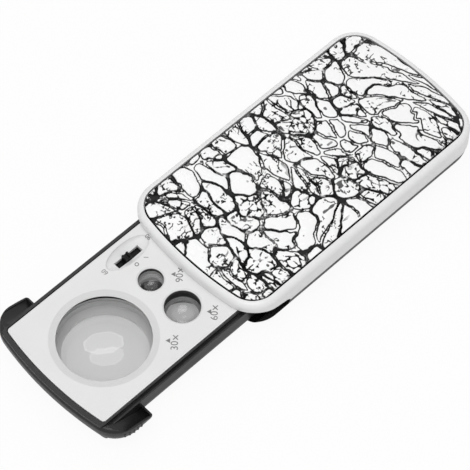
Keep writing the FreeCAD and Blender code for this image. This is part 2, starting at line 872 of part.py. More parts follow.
def add_tray_supports(body):
    """Walls round the battery bay, and ribs that hold the circuit board up."""
    bay = new_sketch(body, "XY_Plane", "BayWalls", FLOOR_TOP)
    wall = S.bay_wall
    rectangle(bay, BAY_FRONT - wall, BAY_REAR + wall, -BAY_HALF - wall, BAY_HALF + wall)
    rectangle(bay, BAY_FRONT, BAY_REAR, -BAY_HALF, BAY_HALF)
    pad(body, bay, CELL_TOP - FLOOR_TOP)
    ribs = new_sketch(body, "XY_Plane", "BoardRibs", FLOOR_TOP)
    for x in (S.dish_place, S.board_front + S.board_length - 2 * S.board_rib):
        rectangle(ribs, x, x + S.board_rib, BOARD_SIDE + S.board_rib, BOARD_SIDE + S.board_width)
    pad(body, ribs, S.board_rise)


def cut_tray_floor(body):
    """Openings for the lens barrels, the lamps, the screws and the cells."""
    openings = new_sketch(body, "XY_Plane", "FloorOpenings", TRAY_BOTTOM)
    circle(openings, BIG_PLACE, -S.big_side, BIG_BARREL + S.barrel_gap)
    circle(openings, S.mid_place, -S.mid_side, S.mid_window)
    circle(openings, S.small_place, S.small_side, S.small_window)
    for y in (WHITE_LAMP_SIDE, ULTRAVIOLET_LAMP_SIDE, -LOWER_LAMP_SIDE):
        circle(openings, S.lamp_place, y, S.lamp_radius + S.lamp_hole_gap)
    for x, y in SCREW_PLACES:
        circle(openings, x, y, S.screw_clearance)
    rectangle(openings, BAY_FRONT, BAY_REAR, -BAY_HALF, BAY_HALF)
    pocket(body, openings, 2 * S.tray_floor, up=True)
    sinks = new_sketch(body, "XY_Plane", "ScrewSinks", TRAY_BOTTOM)
    for x, y in SCREW_PLACES:
        circle(sinks, x, y, S.screw_head + S.barrel_gap)
    pocket(body, sinks, S.screw_head_depth, up=True)


def make_faceplate():
    """White plate that carries the lens openings and the switch dish, with bosses below."""
    body = new_body("Faceplate")
    plate = new_sketch(body, "XY_Plane", "FaceShape", FACE_BOTTOM)
    face_outline(plate, S.face_gap)
    pad(body, plate, S.face_thickness)

    well = new_sketch(body, "XY_Plane", "DishWell", FACE_BOTTOM)
    front, rear = S.slot_front - S.slot_margin, S.slot_front + S.slot_length + S.slot_margin
    side = S.slot_width / 2 + S.slot_margin
    rectangle(well, front, rear, SLOT_SIDE - side, SLOT_SIDE + side)
    pad(body, well, FACE_BOTTOM - DISH_UNDERSIDE, down=True)
    bosses = new_sketch(body, "XY_Plane", "Bosses", FLOOR_TOP + S.boss_foot_gap)
    for x, y in SCREW_PLACES:
        circle(bosses, x, y, S.boss_radius)
    pad(body, bosses, FACE_BOTTOM - FLOOR_TOP - S.boss_foot_gap)
    bores = new_sketch(body, "XY_Plane", "BossBores", FLOOR_TOP + S.boss_foot_gap)
    for x, y in SCREW_PLACES:
        circle(bores, x, y, S.boss_bore)
    pocket(body, bores, S.boss_bore_depth, up=True)

    before = body.Shape.Volume
    bowl = body.newObject("PartDesign::SubtractiveEllipsoid", "SwitchDish")
    drive(bowl, "Radius1", S.dish_depth)
    drive(bowl, "Radius2", S.dish_length / 2)
    drive(bowl, "Radius3", S.dish_width / 2)
    drive(bowl, ".Placement.Base.x", S.dish_place)
    drive(bowl, ".Placement.Base.y", DISH_SIDE)
    drive(bowl, ".Placement.Base.z", S.tray_top)
    check_cut(bowl, before)
    slot = new_sketch(body, "XY_Plane", "SwitchSlot", S.tray_top)
    half = S.slot_width / 2
    rectangle(slot, S.slot_front, S.slot_front + S.slot_length, SLOT_SIDE - half, SLOT_SIDE + half)
    pocket(body, slot, S.tray_height)

    relief = new_sketch(body, "XY_Plane", "BigRelief", FACE_BOTTOM)
    circle(relief, BIG_PLACE, -S.big_side, S.big_hole + S.big_relief)
    pocket(body, relief, S.face_thickness - S.big_bevel_depth - S.big_lip, up=True)
    holes = new_sketch(body, "XY_Plane", "LensHoles", S.tray_top)
    lens_holes = (
        ("BigBevel", BIG_PLACE, -S.big_side, S.big_hole, S.big_bevel, S.big_bevel_depth),
        ("MidBevel", S.mid_place, -S.mid_side, S.mid_hole, S.mid_bevel, S.small_bevel_depth),
        ("SmallBevel", S.small_place, S.small_side, S.small_hole, S.small_bevel, S.small_bevel_depth),
    )
    for _, x, y, radius, _, _ in lens_holes:
        circle(holes, x, y, radius)
    pocket(body, holes, S.face_thickness)
    for name, x, y, radius, bevel, depth in lens_holes:
        before = body.Shape.Volume
        cone = body.newObject("PartDesign::SubtractiveCone", name)
        drive(cone, "Radius1", radius)
        drive(cone, "Radius2", radius + bevel)
        drive(cone, "Height", depth)
        drive(cone, ".Placement.Base.x", x)
        drive(cone, ".Placement.Base.y", y)
        drive(cone, ".Placement.Base.z", S.tray_top - depth)
        check_cut(cone, before)
    return placed(body, "faceplate", TRAY_X)


def make_faceplate_screws():
    """Four small screws that come up through the tray's floor into the faceplate's bosses."""
    screws = []
    head_top = TRAY_BOTTOM + S.screw_head_depth
    for number, (x, y) in enumerate(SCREW_PLACES, start=1):
        head = doc.addObject("Part::Cylinder", f"ScrewHead{number}")
        drive(head, "Radius", S.screw_head)
        drive(head, "Height", S.screw_head_depth - S.lens_gap)
        drive(head, ".Placement.Base.z", TRAY_BOTTOM)
        shank = doc.addObject("Part::Cylinder", f"ScrewShank{number}")
        drive(shank, "Radius", S.screw_shank)
        drive(shank, "Height", S.screw_length)
        drive(shank, ".Placement.Base.z", head_top - 2 * S.lens_gap)
        slot = doc.addObject("Part::Box", f"ScrewSlot{number}")
        drive(slot, "Length", 2 * S.screw_head + S.screw_slot)
        drive(slot, "Width", S.screw_slot)
        drive(slot, "Height", S.screw_slot)
        drive(slot, ".Placement.Base.x", -(S.screw_head + S.screw_slot / 2))
        drive(slot, ".Placement.Base.y", -S.screw_slot / 2)
        drive(slot, ".Placement.Base.z", TRAY_BOTTOM)
        joined = doc.addObject("Part::MultiFuse", f"ScrewBlank{number}")
        joined.Shapes = [head, shank]
        screw = doc.addObject("Part::Cut", f"Screw{number}")
        screw.Base = joined
        screw.Tool = slot
        drive(screw, ".Placement.Base.x", x)
        drive(screw, ".Placement.Base.y", y)
        screws.append(screw)
    group = doc.addObject("Part::Compound", "FaceplateScrews")
    group.Links = screws
    return placed(group, "faceplate_screws", TRAY_X)


# Lenses and their holders

def lens_profile(radius, bottom, edge, upper, lower):
    """Half the section of a lens with a flat rim; upper and lower give a face's reach and curve."""
    (top_reach, top_curve), (bottom_reach, bottom_curve) = upper, lower
    bulge_up = top_curve - root(top_curve * top_curve - top_reach * top_reach)
    bulge_down = bottom_curve - root(bottom_curve * bottom_curve - bottom_reach * bottom_reach)
    corners = [
        (ZERO, bottom - bulge_down),
        (bottom_reach, bottom),
        (radius, bottom),
        (radius, bottom + edge),
        (top_reach, bottom + edge),
        (ZERO, bottom + edge + bulge_up),
    ]
    return corners, {0: (bottom_curve, True), 4: (top_curve, True)}


def make_big_lens():
    """The 30x lens, its white barrel in the tray's floor and the ring that holds it down."""
    x, y = BIG_PLACE, -S.big_side
    radius = BIG_LENS - S.lens_gap
    window = S.big_hole - S.big_window_inset
    ring_hole = BIG_LENS - S.big_ring_width
    upper = (ring_hole - S.lens_gap, S.big_lens_top_curve)
    lower = (window - S.lens_gap, S.big_lens_bottom_curve)
    corners, arcs = lens_profile(radius, S.big_lens_bottom, S.big_lens_edge, upper, lower)
    turned("BigLens", corners, x, y, arcs).Label = "lens_30x"

    seat = S.big_lens_bottom - S.lens_gap
    barrel = [
        (window, TRAY_BOTTOM),
        (BIG_BARREL, TRAY_BOTTOM),
        (BIG_BARREL, FLOOR_TOP),
        (BIG_FLANGE, FLOOR_TOP),
        (BIG_FLANGE, FLOOR_TOP + S.big_flange_height),
        (BIG_BARREL, FLOOR_TOP + S.big_flange_height),
        (BIG_BARREL, S.big_barrel_top),
        (BIG_LENS, S.big_barrel_top),
        (BIG_LENS, seat),
        (window, seat),
    ]
    turned("BigBarrel", barrel, x, y).Label = "barrel_30x"

    ring_bottom = S.big_lens_bottom + S.big_lens_edge + S.lens_gap
    ring = [
        (ring_hole, ring_bottom),
        (radius, ring_bottom),
        (radius, S.big_barrel_top),
        (ring_hole, S.big_barrel_top),
    ]
    turned("BigRing", ring, x, y).Label = "lens_ring_30x"


def make_small_lens(name, label, x, y, radius, bottom, edge, curve, barrel, window, hole):
    """A small lens in a dark barrel that stands on the tray's floor."""
    upper, lower = (hole - S.lens_gap, curve), (window - S.lens_gap, curve)
    corners, arcs = lens_profile(radius - S.lens_gap, bottom, edge, upper, lower)
    turned(f"{name}Lens", corners, x, y, arcs).Label = f"lens_{label}"
    top = FACE_BOTTOM - S.barrel_gap
    profile = [
        (window, FLOOR_TOP),
        (barrel, FLOOR_TOP),
        (barrel, top),
        (hole, top),
        (radius, top - (radius - hole)),
        (radius, bottom),
        (window, bottom),
    ]
    turned(f"{name}Barrel", profile, x, y).Label = f"barrel_{label}"


# Lamps, board, switch

def make_lamp(name, label, y):
    """A short lamp with a flange, hanging through its hole in the tray's floor."""
    radius = S.lamp_radius
    flange_top = FLOOR_TOP + S.lamp_flange_height
    profile = [
        (ZERO, TRAY_BOTTOM),
        (radius - S.lamp_dome, TRAY_BOTTOM),
        (radius, TRAY_BOTTOM + S.lamp_dome),
        (radius, FLOOR_TOP),
        (S.lamp_flange, FLOOR_TOP),
        (S.lamp_flange, flange_top),
        (ZERO, flange_top),
    ]
    turned(name, profile, S.lamp_place, y, {1: (S.lamp_dome, True)}).Label = label


def make_circuit_board():
    body = new_body("CircuitBoard")
    board = new_sketch(body, "XY_Plane", "BoardShape", BOARD_BOTTOM)
    outer = BOARD_SIDE + S.board_width
    rectangle(board, S.board_front, S.board_front + S.board_length, BOARD_SIDE, outer)
    pad(body, board, S.board_thickness)
    placed(body, "circuit_board", TRAY_X)


def make_switch():
    """The switch body on the board, and the knob whose plate slides under the dish."""
    plate_top = DISH_UNDERSIDE - S.switch_gap
    plate_bottom = plate_top - S.knob_plate
    case_top = plate_bottom - S.switch_gap
    slot_middle = S.slot_front + S.slot_length / 2
    body = new_body("SwitchCase")
    case = new_sketch(body, "XY_Plane", "SwitchShape", BOARD_TOP)
    half_length, half_width = S.switch_length / 2, S.switch_width / 2
    rectangle(
        case,
        slot_middle - half_length,
        slot_middle + half_length,
        SLOT_SIDE - half_width,
        SLOT_SIDE + half_width,
    )
    pad(body, case, case_top - BOARD_TOP)
    channel = new_sketch(body, "XY_Plane", "SwitchChannel", case_top)
    reach = S.knob_travel + S.knob_length / 2 + S.switch_gap
    peg_half = S.knob_peg / 2 + S.switch_gap
    middle = S.knob_rest
    rectangle(channel, middle - reach, middle + reach, SLOT_SIDE - peg_half, SLOT_SIDE + peg_half)
    pocket(body, channel, S.knob_peg_depth + S.switch_gap)
    placed(body, "switch_case", TRAY_X)

    knob = new_body("SwitchKnob")
    plate = new_sketch(knob, "XY_Plane", "KnobPlate", plate_bottom)
    rectangle(
        plate,
        S.knob_rest - S.knob_plate_length / 2,
        S.knob_rest + S.knob_plate_length / 2,
        SLOT_SIDE - S.knob_plate_width / 2,
        SLOT_SIDE + S.knob_plate_width / 2,
    )
    pad(knob, plate, S.knob_plate)
    stem = new_sketch(knob, "XY_Plane", "KnobStem", plate_bottom)
    front, rear = S.knob_rest - S.knob_length / 2, S.knob_rest + S.knob_length / 2
    rectangle(stem, front, rear, SLOT_SIDE - S.knob_width / 2, SLOT_SIDE + S.knob_width / 2)
    knob_top = S.tray_top + S.knob_rise
    pad(knob, stem, knob_top - plate_bottom)
    peg = new_sketch(knob, "XY_Plane", "KnobPeg", plate_bottom)
    rectangle(peg, front, rear, SLOT_SIDE - S.knob_peg / 2, SLOT_SIDE + S.knob_peg / 2)
    pad(knob, peg, S.knob_peg_depth, down=True)
    notch = new_sketch(knob, "XZ_Plane", "KnobNotch")
    corners = [
        (S.knob_rest - S.knob_notch, knob_top + S.knob_notch),
        (S.knob_rest - S.knob_notch / 2, knob_top - S.knob_notch_depth),
        (S.knob_rest + S.knob_notch / 2, knob_top - S.knob_notch_depth),
        (S.knob_rest + S.knob_notch, knob_top + S.knob_notch),
    ]
    outline(notch, corners)
    pocket_both_ways(knob, notch)
    placed(knob, "switch_knob", TRAY_X)


# Cells and contacts

def make_cell(number):
    """A button cell: the can with the smaller cap that faces up."""
    radius, top = S.cell_radius, CELL_TOP - S.cell_cap_rise
    profile = [
        (ZERO, S.cell_bottom),
        (radius, S.cell_bottom),
        (radius, top),
        (S.cell_cap, top),
        (S.cell_cap, CELL_TOP),
        (ZERO, CELL_TOP),
    ]
    x = S.cell_first + number * S.cell_pitch
    turned(f"Cell{number + 1}", profile, x, ZERO).Label = f"cell_{number + 1}"


def strip_pad(body, name, corners):
    """A flat spring strip that lies on the cells."""
    sketch = new_sketch(body, "XY_Plane", name, CELL_TOP + S.strip_rise)
    outline(sketch, corners)
    pad(body, sketch, S.strip)


def make_end_contacts():
    """Strips from the first cell's cap and the last cell's side to the circuit board."""
    half = S.strip_width / 2
    board_edge = BOARD_SIDE + S.strip_tab
    negative = new_body("ContactNegative")
    first = S.cell_first
    strip_pad(
        negative,
        "NegativeStrip",
        [(first - half, -half), (first + half, -half), (first + half, board_edge), (first - half, board_edge)],
    )
    placed(negative, "contact_negative", TRAY_X)

    positive = new_body("ContactPositive")
    edge = BAY_REAR + S.bay_wall
    board_end = S.board_front + S.board_length
    corners = [
        (BAY_REAR - S.strip, -half),
        (edge, -half),
        (edge, board_edge),
        (board_end - S.strip_width, board_edge),
        (board_end - S.strip_width, board_edge - S.strip_tab + S.strip_edge),
        (BAY_REAR - S.strip, board_edge - S.strip_tab + S.strip_edge),
    ]
    strip_pad(positive, "PositiveStrip", corners)
    tab = new_sketch(positive, "XY_Plane", "PositiveTab", CELL_TOP + S.strip_rise)
    rectangle(tab, BAY_REAR - S.strip + S.strip_rise / 2, BAY_REAR - S.strip_rise / 2, -half, half)
    pad(positive, tab, S.strip_tab, down=True)
    placed(positive, "contact_positive", TRAY_X)


def make_contact_bridge(number, side):
    """From the side of one cell to the cap of the next, along the bay's wall."""
    half = S.strip_width / 2
    here = S.cell_first + number * S.cell_pitch
    there = here + S.cell_pitch
    wall = BAY_HALF + S.bay_wall
    inner = BAY_HALF - S.strip_edge
    corners = [
        (here - half, side * wall),
        (there + half, side * wall),
        (there + half, -side * half),
        (there - half, -side * half),
        (there - half, side * inner),
        (here - half, side * inner),
    ]
    body = new_body(f"ContactBridge{number + 1}")
    strip_pad(body, f"Bridge{number + 1}Strip", corners)
    tab = new_sketch(body, "XY_Plane", f"Bridge{number + 1}Tab", CELL_TOP + S.strip_rise)
    outer_face = side * (BAY_HALF - S.strip_rise / 2)
    inner_face = side * (BAY_HALF - S.bay_gap + S.strip_rise / 2)
    rectangle(tab, here - half, here + half, inner_face, outer_face)
    pad(body, tab, S.strip_tab, down=True)
    placed(body, f"contact_bridge_{number + 1}", TRAY_X)


NODES = (
    "sleeve_cover",
    "sleeve_panel",
    "sleeve_base",
    "battery_door",
    "drawer_tray",
    "faceplate",
    "faceplate_screws",
    "lens_30x",
    "barrel_30x",
    "lens_ring_30x",
    "lens_60x",
    "barrel_60x",
    "lens_90x",
    "barrel_90x",
    "led_60x",
    "led_90x",
    "uv_led",
    "circuit_board",
    "switch_case",
    "switch_knob",
    "cell_1",
    "cell_2",
    "cell_3",
    "contact_negative",
    "contact_bridge_1",
    "contact_bridge_2",
    "contact_positive",
)


def build():
    fill_sheet()
    make_sleeve_cover()
    make_sleeve_panel()
    make_sleeve_base()
    make_battery_door()
    make_drawer_tray()
    make_faceplate()
    make_faceplate_screws()
    make_big_lens()
    make_small_lens(
        "Mid", "60x", S.mid_place, -S.mid_side, S.mid_lens, S.mid_lens_bottom,
        S.mid_lens_edge, S.mid_lens_curve, S.mid_barrel, S.mid_window, S.mid_hole,
    )
    make_small_lens(
        "Small", "90x", S.small_place, S.small_side, S.small_lens, S.small_lens_bottom,
        S.small_lens_edge, S.small_lens_curve, S.small_barrel, S.small_window, S.small_hole,
    )
    make_lamp("LowerLamp", "led_60x", -LOWER_LAMP_SIDE)
    make_lamp("UpperLamp", "led_90x", WHITE_LAMP_SIDE)
    make_lamp("UltravioletLamp", "uv_led", ULTRAVIOLET_LAMP_SIDE)
    make_circuit_board()
    make_switch()
    for number in range(3):
        make_cell(number)
    make_end_contacts()
    make_contact_bridge(0, -1)
    make_contact_bridge(1, 1)
    doc.recompute()


def check_and_write():
    """Refuse a document with a failed object, then write one file for each piece."""
    for thing in doc.Objects:
        if "Invalid" in thing.State or "Error" in thing.State:
            raise RuntimeError(f"{thing.Label} did not compute: {thing.State}")
    os.makedirs("parts", exist_ok=True)
    for node in NODES:
        piece = doc.getObjectsByLabel(node)[0]
        shape = piece.Shape
        if shape.isNull() or not shape.isValid():
            raise RuntimeError(f"{node} has no valid shape")
        shape.exportStep(f"parts/{node}.step")
        box = shape.BoundBox
        print(
            f"{node:18s} solids {len(shape.Solids)} volume {shape.Volume:9.2f} "
            f"x {box.XMin:7.2f} {box.XMax:7.2f} y {box.YMin:7.2f} {box.YMax:7.2f} "
            f"z {box.ZMin:6.2f} {box.ZMax:6.2f}"
        )


build()
check_and_write()
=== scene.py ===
import math

import bmesh
import bpy
import numpy as np
from mathutils import Matrix, Vector
from mathutils.kdtree import KDTree


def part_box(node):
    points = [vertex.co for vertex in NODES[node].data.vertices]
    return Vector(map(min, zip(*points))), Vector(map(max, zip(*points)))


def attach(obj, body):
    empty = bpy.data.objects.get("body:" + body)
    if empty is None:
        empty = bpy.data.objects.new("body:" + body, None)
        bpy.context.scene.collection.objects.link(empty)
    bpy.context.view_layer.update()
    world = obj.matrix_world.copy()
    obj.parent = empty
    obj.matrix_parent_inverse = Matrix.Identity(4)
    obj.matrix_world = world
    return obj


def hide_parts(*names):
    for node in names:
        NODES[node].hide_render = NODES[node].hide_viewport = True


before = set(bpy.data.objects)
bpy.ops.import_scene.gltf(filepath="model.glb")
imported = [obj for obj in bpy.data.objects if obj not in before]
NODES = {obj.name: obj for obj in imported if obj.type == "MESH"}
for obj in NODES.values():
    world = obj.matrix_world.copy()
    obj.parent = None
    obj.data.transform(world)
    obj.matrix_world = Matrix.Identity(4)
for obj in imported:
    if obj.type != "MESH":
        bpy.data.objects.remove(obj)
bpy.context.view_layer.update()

# A pocket loupe on a pale floor. Metres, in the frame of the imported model: +X runs from
# the pull to the closed end of the sleeve, +Z is up, and the floor is at Z = 0. What is
# written in millimetres is multiplied by MM where it is used.

MM = 0.001


def middle_of(name):
    """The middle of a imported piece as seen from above, in millimetres."""
    low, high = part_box(name)
    return (low + high).xy / (2 * MM)


def new_object(name, data, *materials):
    """An object in the scene for a camera, a lamp, or a mesh and its materials."""
    thing = bpy.data.objects.new(name, data)
    for material in materials:
        data.materials.append(material)
    bpy.context.scene.collection.objects.link(thing)
    return thing


# Camera

AIM = Vector((-0.781, 0.951, 5.0)) * MM
CAMERA_AZIMUTH = math.radians(-44.0)
CAMERA_ELEVATION = math.radians(58.28)
CAMERA_DISTANCE = 0.5638
CAMERA_LENS = 184.88
SENSOR = 36.0
CLIP_NEAR = 0.01
CLIP_FAR = 20.0


def add_camera():
    level = math.cos(CAMERA_ELEVATION)
    back = Vector((
        math.sin(CAMERA_AZIMUTH) * level,
        -math.cos(CAMERA_AZIMUTH) * level,
        math.sin(CAMERA_ELEVATION),
    ))
    data = bpy.data.cameras.new("camera")
    data.lens = CAMERA_LENS
    data.sensor_width = SENSOR
    data.clip_start = CLIP_NEAR
    data.clip_end = CLIP_FAR
    camera = new_object("camera", data)
    camera.location = AIM + back * CAMERA_DISTANCE
    camera.rotation_euler = (math.pi / 2 - CAMERA_ELEVATION, 0.0, CAMERA_AZIMUTH)
    bpy.context.scene.camera = camera


# Shader helpers

BEVEL_SAMPLES = 4


class Nodes:
    """Short names for building one node tree."""

    def __init__(self, tree):
        self.tree = tree

    def add(self, kind, **settings):
        node = self.tree.nodes.new(kind)
        for name, value in settings.items():
            setattr(node, name, value)
        return node

    def link(self, source, target):
        self.tree.links.new(source, target)

    def place(self):
        """Where a point lies on its own piece."""
        return self.add("ShaderNodeTexCoord").outputs["Object"]

    def ray(self, kind):
        """What the light path says of the ray, such as Is Camera Ray."""
        return self.add("ShaderNodeLightPath").outputs[kind]

    def math(self, operation, first, second=None):
        node = self.add("ShaderNodeMath", operation=operation)
        for socket, value in zip(node.inputs, (first, second)):
            if value is None:
                continue
            if isinstance(value, (int, float)):
                socket.default_value = value
            else:
                self.link(value, socket)
        return node.outputs[0]

    def vector(self, operation, first, second):
        """Vector arithmetic on a linked vector and either a fixed one or another linked one."""
        node = self.add("ShaderNodeVectorMath", operation=operation)
        self.link(first, node.inputs[0])
        if isinstance(second, tuple):
            node.inputs[1].default_value = second
        else:
            self.link(second, node.inputs[1])
        return node.outputs["Value" if operation == "DISTANCE" else "Vector"]

    def axes(self, vector):
        """The three parts of a vector."""
        node = self.add("ShaderNodeSeparateXYZ")
        self.link(vector, node.inputs[0])
        return node.outputs

    def noise(self, scale, detail=3.0, roughness=0.5, stretch=None):
        """Noise on the piece; scale counts features in a metre."""
        place = self.place()
        if stretch is not None:
            mapping = self.add("ShaderNodeMapping")
            mapping.inputs["Scale"].default_value = stretch
            self.link(place, mapping.inputs["Vector"])
            place = mapping.outputs["Vector"]
        node = self.add("ShaderNodeTexNoise")
        node.inputs["Scale"].default_value = scale
        node.inputs["Detail"].default_value = detail
        node.inputs["Roughness"].default_value = roughness
        self.link(place, node.inputs["Vector"])
        return node.outputs["Fac"]

    def ramp(self, factor, stops):
        """A colour ramp through (place, grey or colour) stops."""
        node = self.add("ShaderNodeValToRGB")
        band = node.color_ramp.elements
        while len(band) < len(stops):
            band.new(0.5)
        for element, (place, colour) in zip(band, stops):
            element.position = place
            element.color = rgba(colour)
        self.link(factor, node.inputs["Fac"])
        return node.outputs["Color"]

    def span(self, factor, low, high):
        """The factor spread over low to high."""
        node = self.add("ShaderNodeMapRange")
        node.inputs["To Min"].default_value = low
        node.inputs["To Max"].default_value = high
        self.link(factor, node.inputs["Value"])
        return node.outputs["Result"]

    def bump(self, height, depth, normal=None):
        node = self.add("ShaderNodeBump")
        node.inputs["Distance"].default_value = depth
        self.link(height, node.inputs["Height"])
        if normal is not None:
            self.link(normal, node.inputs["Normal"])
        return node.outputs["Normal"]

    def eased_edges(self, radius):
        node = self.add("ShaderNodeBevel", samples=BEVEL_SAMPLES)
        node.inputs["Radius"].default_value = radius
        return node.outputs["Normal"]

    def mix(self, share, first, second):
        """A surface between two others; a share of 1 is all second."""
        node = self.add("ShaderNodeMixShader")
        for socket, source in zip(node.inputs, (share, first, second)):
            self.link(source, socket)
        return node.outputs[0]

    def dress(self, shader, colour, roughness, normal=None):
        """Lead a colour, a roughness and a normal to the shader."""
        self.link(colour, shader.inputs["Base Color"])
        self.link(roughness, shader.inputs["Roughness"])
        if normal is not None:
            self.link(normal, shader.inputs["Normal"])


def rgba(colour):
    if isinstance(colour, (int, float)):
        colour = (colour, colour, colour)
    return (*colour, 1.0)


def new_material(name, **sockets):
    """A Principled material and the helper for its tree; sockets are set on the shader itself."""
    material = bpy.data.materials.new(name)
    material.use_nodes = True
    shader = material.node_tree.nodes["Principled BSDF"]
    for socket, value in sockets.items():
        shader.inputs[socket.replace("_", " ")].default_value = value
    return material, Nodes(material.node_tree), shader


def stage_material(name):
    """A material with an empty tree, for the floor and the softbox."""
    material = bpy.data.materials.new(name)
    material.use_nodes = True
    material.node_tree.nodes.clear()
    return material, Nodes(material.node_tree)


# Kinds of finish: numbers given to noise count features in a metre

MOTTLE = 90.0
GLOSS_MOTTLE = 450.0
METAL_MARKS = 900.0
METAL_GLOSS = 270.0
METAL_MARK_DEPTH = 0.004
METAL_EDGE = 0.06
CLEAR_GLOSS = 500.0
CLEAR_WAVES = 200.0
CLEAR_WAVE_DEPTH = 0.00002
SHADE_LIGHT = 0.86


def moulded(name, dark, light, gloss, grain, edge=0.12, **sockets):
    """Moulded plastic: faint mottling, a fine grain and eased edges.

    dark and light bound the colour, gloss bounds the roughness, grain is the grain's
    (features in a metre, depth in millimetres), and edge is in millimetres."""
    material, tree, shader = new_material(name, **sockets)
    features, depth = grain
    tree.dress(
        shader,
        tree.ramp(tree.noise(MOTTLE, detail=4.0), [(0.3, dark), (0.7, light)]),
        tree.span(tree.noise(GLOSS_MOTTLE, detail=4.0), *gloss),
        tree.bump(tree.noise(features, detail=2.0), depth * MM, tree.eased_edges(edge * MM)),
    )
    return material


def metal(name, dark, light, gloss, stretch=(1.0, 1.0, 1.0)):
    """Bare metal with fine marks, drawn out by the stretch."""
    material, tree, shader = new_material(name, Metallic=1.0)
    marks = tree.noise(METAL_MARKS, detail=5.0, roughness=0.6, stretch=stretch)
    tree.dress(
        shader,
        tree.ramp(marks, [(0.25, dark), (0.75, light)]),
        tree.span(tree.noise(METAL_GLOSS, detail=4.0), *gloss),
        tree.bump(marks, METAL_MARK_DEPTH * MM, tree.eased_edges(METAL_EDGE * MM)),
    )
    return material


def clear(name, tint, ior, gloss):
    """Clear moulded acrylic with the faintest waviness.

    Rays that light other surfaces pass straight through it, dimmed to SHADE_LIGHT."""
    material, tree, shader = new_material(name, IOR=ior)
    shader.inputs["Transmission Weight"].default_value = 1.0
    shader.inputs["Base Color"].default_value = rgba(tint)
    tree.link(tree.span(tree.noise(CLEAR_GLOSS), *gloss), shader.inputs["Roughness"])
    waves = tree.bump(tree.noise(CLEAR_WAVES, detail=1.0), CLEAR_WAVE_DEPTH * MM)
    tree.link(waves, shader.inputs["Normal"])
    passing = tree.add("ShaderNodeBsdfTransparent")
    passing.inputs["Color"].default_value = rgba(SHADE_LIGHT)
    lighting = tree.math("MAXIMUM", tree.ray("Is Shadow Ray"), tree.ray("Is Diffuse Ray"))
    surface = tree.mix(lighting, shader.outputs[0], passing.outputs[0])
    tree.link(surface, material.node_tree.nodes["Material Output"].inputs["Surface"])
    return material


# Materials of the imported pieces, by slot

TRACKS = {"Scale": 260.0, "Mortar Size": 0.045, "Brick Width": 0.9, "Row Height": 0.32}
TRACK_DEPTH = 0.02
MASK_DARK = (0.008, 0.075, 0.030)
MASK_LIGHT = (0.03, 0.22, 0.10)


def board_material():
    """Green solder mask over straight copper tracks."""
    material, tree, shader = new_material("board_green_look")
    tracks = tree.add("ShaderNodeTexBrick", offset=0.37, squash=1.6, squash_frequency=3)
    for socket, value in TRACKS.items():
        tracks.inputs[socket].default_value = value
    tree.link(tree.place(), tracks.inputs["Vector"])
    track = tracks.outputs["Fac"]
    mask = tree.noise(1500.0)
    level = tree.math("ADD", tree.math("MULTIPLY", track, 0.55), tree.math("MULTIPLY", mask, 0.3))
    tree.dress(
        shader,
        tree.ramp(level, [(0.1, MASK_DARK), (0.8, MASK_LIGHT)]),
        tree.span(mask, 0.25, 0.42),
        tree.bump(track, TRACK_DEPTH * MM),
    )
    return material


def white_barrel_material():
    """White plastic with a finer mottling and grain than the case."""
    material, tree, shader = new_material("barrel_white_look")
    tree.dress(
        shader,
        tree.ramp(tree.noise(120.0), [(0.3, 0.80), (0.7, 0.84)]),
        tree.span(tree.noise(700.0), 0.36, 0.48),
        tree.bump(tree.noise(2600.0, detail=2.0), 0.003 * MM, tree.eased_edges(0.08 * MM)),
    )
    return material


# Darkening laid over a colour, in millimetres from a lens's axis or above the floor: painted shade on
# the walls of the two small holes and on the 60x barrel above its lens, and a greyer band on the bevel
# round the big hole. A ramp runs from 0 to 1, so these lengths are divided by SHADE_REACH.
SHADE_REACH = 20.0
BIG_HOLE = 11.0
BIG_BEVEL = 12.6
MID_HOLE = 4.21
SMALL_HOLE = 2.95
MID_LENS_RIM = 6.8
BAND_SHADE = 0.86
BAND_BLUR = 0.05
BEVEL_BLUR = 0.1
WALL_SHADE = 0.05
WALL_START = 0.02
WALL_END = 0.1
RIM_BLUR = 0.2
# Painted shade makes the walls of the 60x and 90x holes near black; the 30x entry is a greyer band on
# its bevel.
HOLE_SHADES = {
    "lens_30x": [
        (BIG_HOLE - BAND_BLUR, 1.0),
        (BIG_HOLE + BAND_BLUR, BAND_SHADE),
        (BIG_BEVEL - BEVEL_BLUR, BAND_SHADE),
        (BIG_BEVEL + BEVEL_BLUR, 1.0),
    ],
    "lens_60x": [(MID_HOLE + WALL_START, WALL_SHADE), (MID_HOLE + WALL_END, 1.0)],
    "lens_90x": [(SMALL_HOLE + WALL_START, WALL_SHADE), (SMALL_HOLE + WALL_END, 1.0)],
}
# Painted shade: the barrel turns black above the rim of the 60x lens.
BARREL_SHADES = [(MID_LENS_RIM - RIM_BLUR, 1.0), (MID_LENS_RIM + RIM_BLUR, WALL_SHADE)]


def shade_ramp(tree, length, stops):
    """A ramp over a length in metres; stops are (millimetres, shade)."""
    share = tree.math("DIVIDE", length, SHADE_REACH * MM)
    return tree.ramp(share, [(reach / SHADE_REACH, shade) for reach, shade in stops])


def darkened(material, shade_in):
    """The material with its colour multiplied by the shade that shade_in(tree) gives."""
    tree = Nodes(material.node_tree)
    colour = material.node_tree.nodes["Principled BSDF"].inputs["Base Color"]
    tree.link(tree.vector("MULTIPLY", colour.links[0].from_socket, shade_in(tree)), colour)
    return material


def ring_shade(lens, stops):
    """Shades by the distance from a lens's axis."""
    axis = (*(middle_of(lens) * MM), 0.0)

    def shade_in(tree):
        flat = tree.vector("MULTIPLY", tree.place(), (1.0, 1.0, 0.0))
        return shade_ramp(tree, tree.vector("DISTANCE", flat, axis), stops)

    return shade_in


def face_material():
    """The white plate: a greyer bevel round the big hole, and painted shade that darkens the walls of
    the small ones.
    """
    material = moulded(
        "face_white_look", dark=0.765, light=0.795, gloss=(0.38, 0.46), grain=(3200.0, 0.004))
    for lens, stops in HOLE_SHADES.items():
        material = darkened(material, ring_shade(lens, stops))
    return material


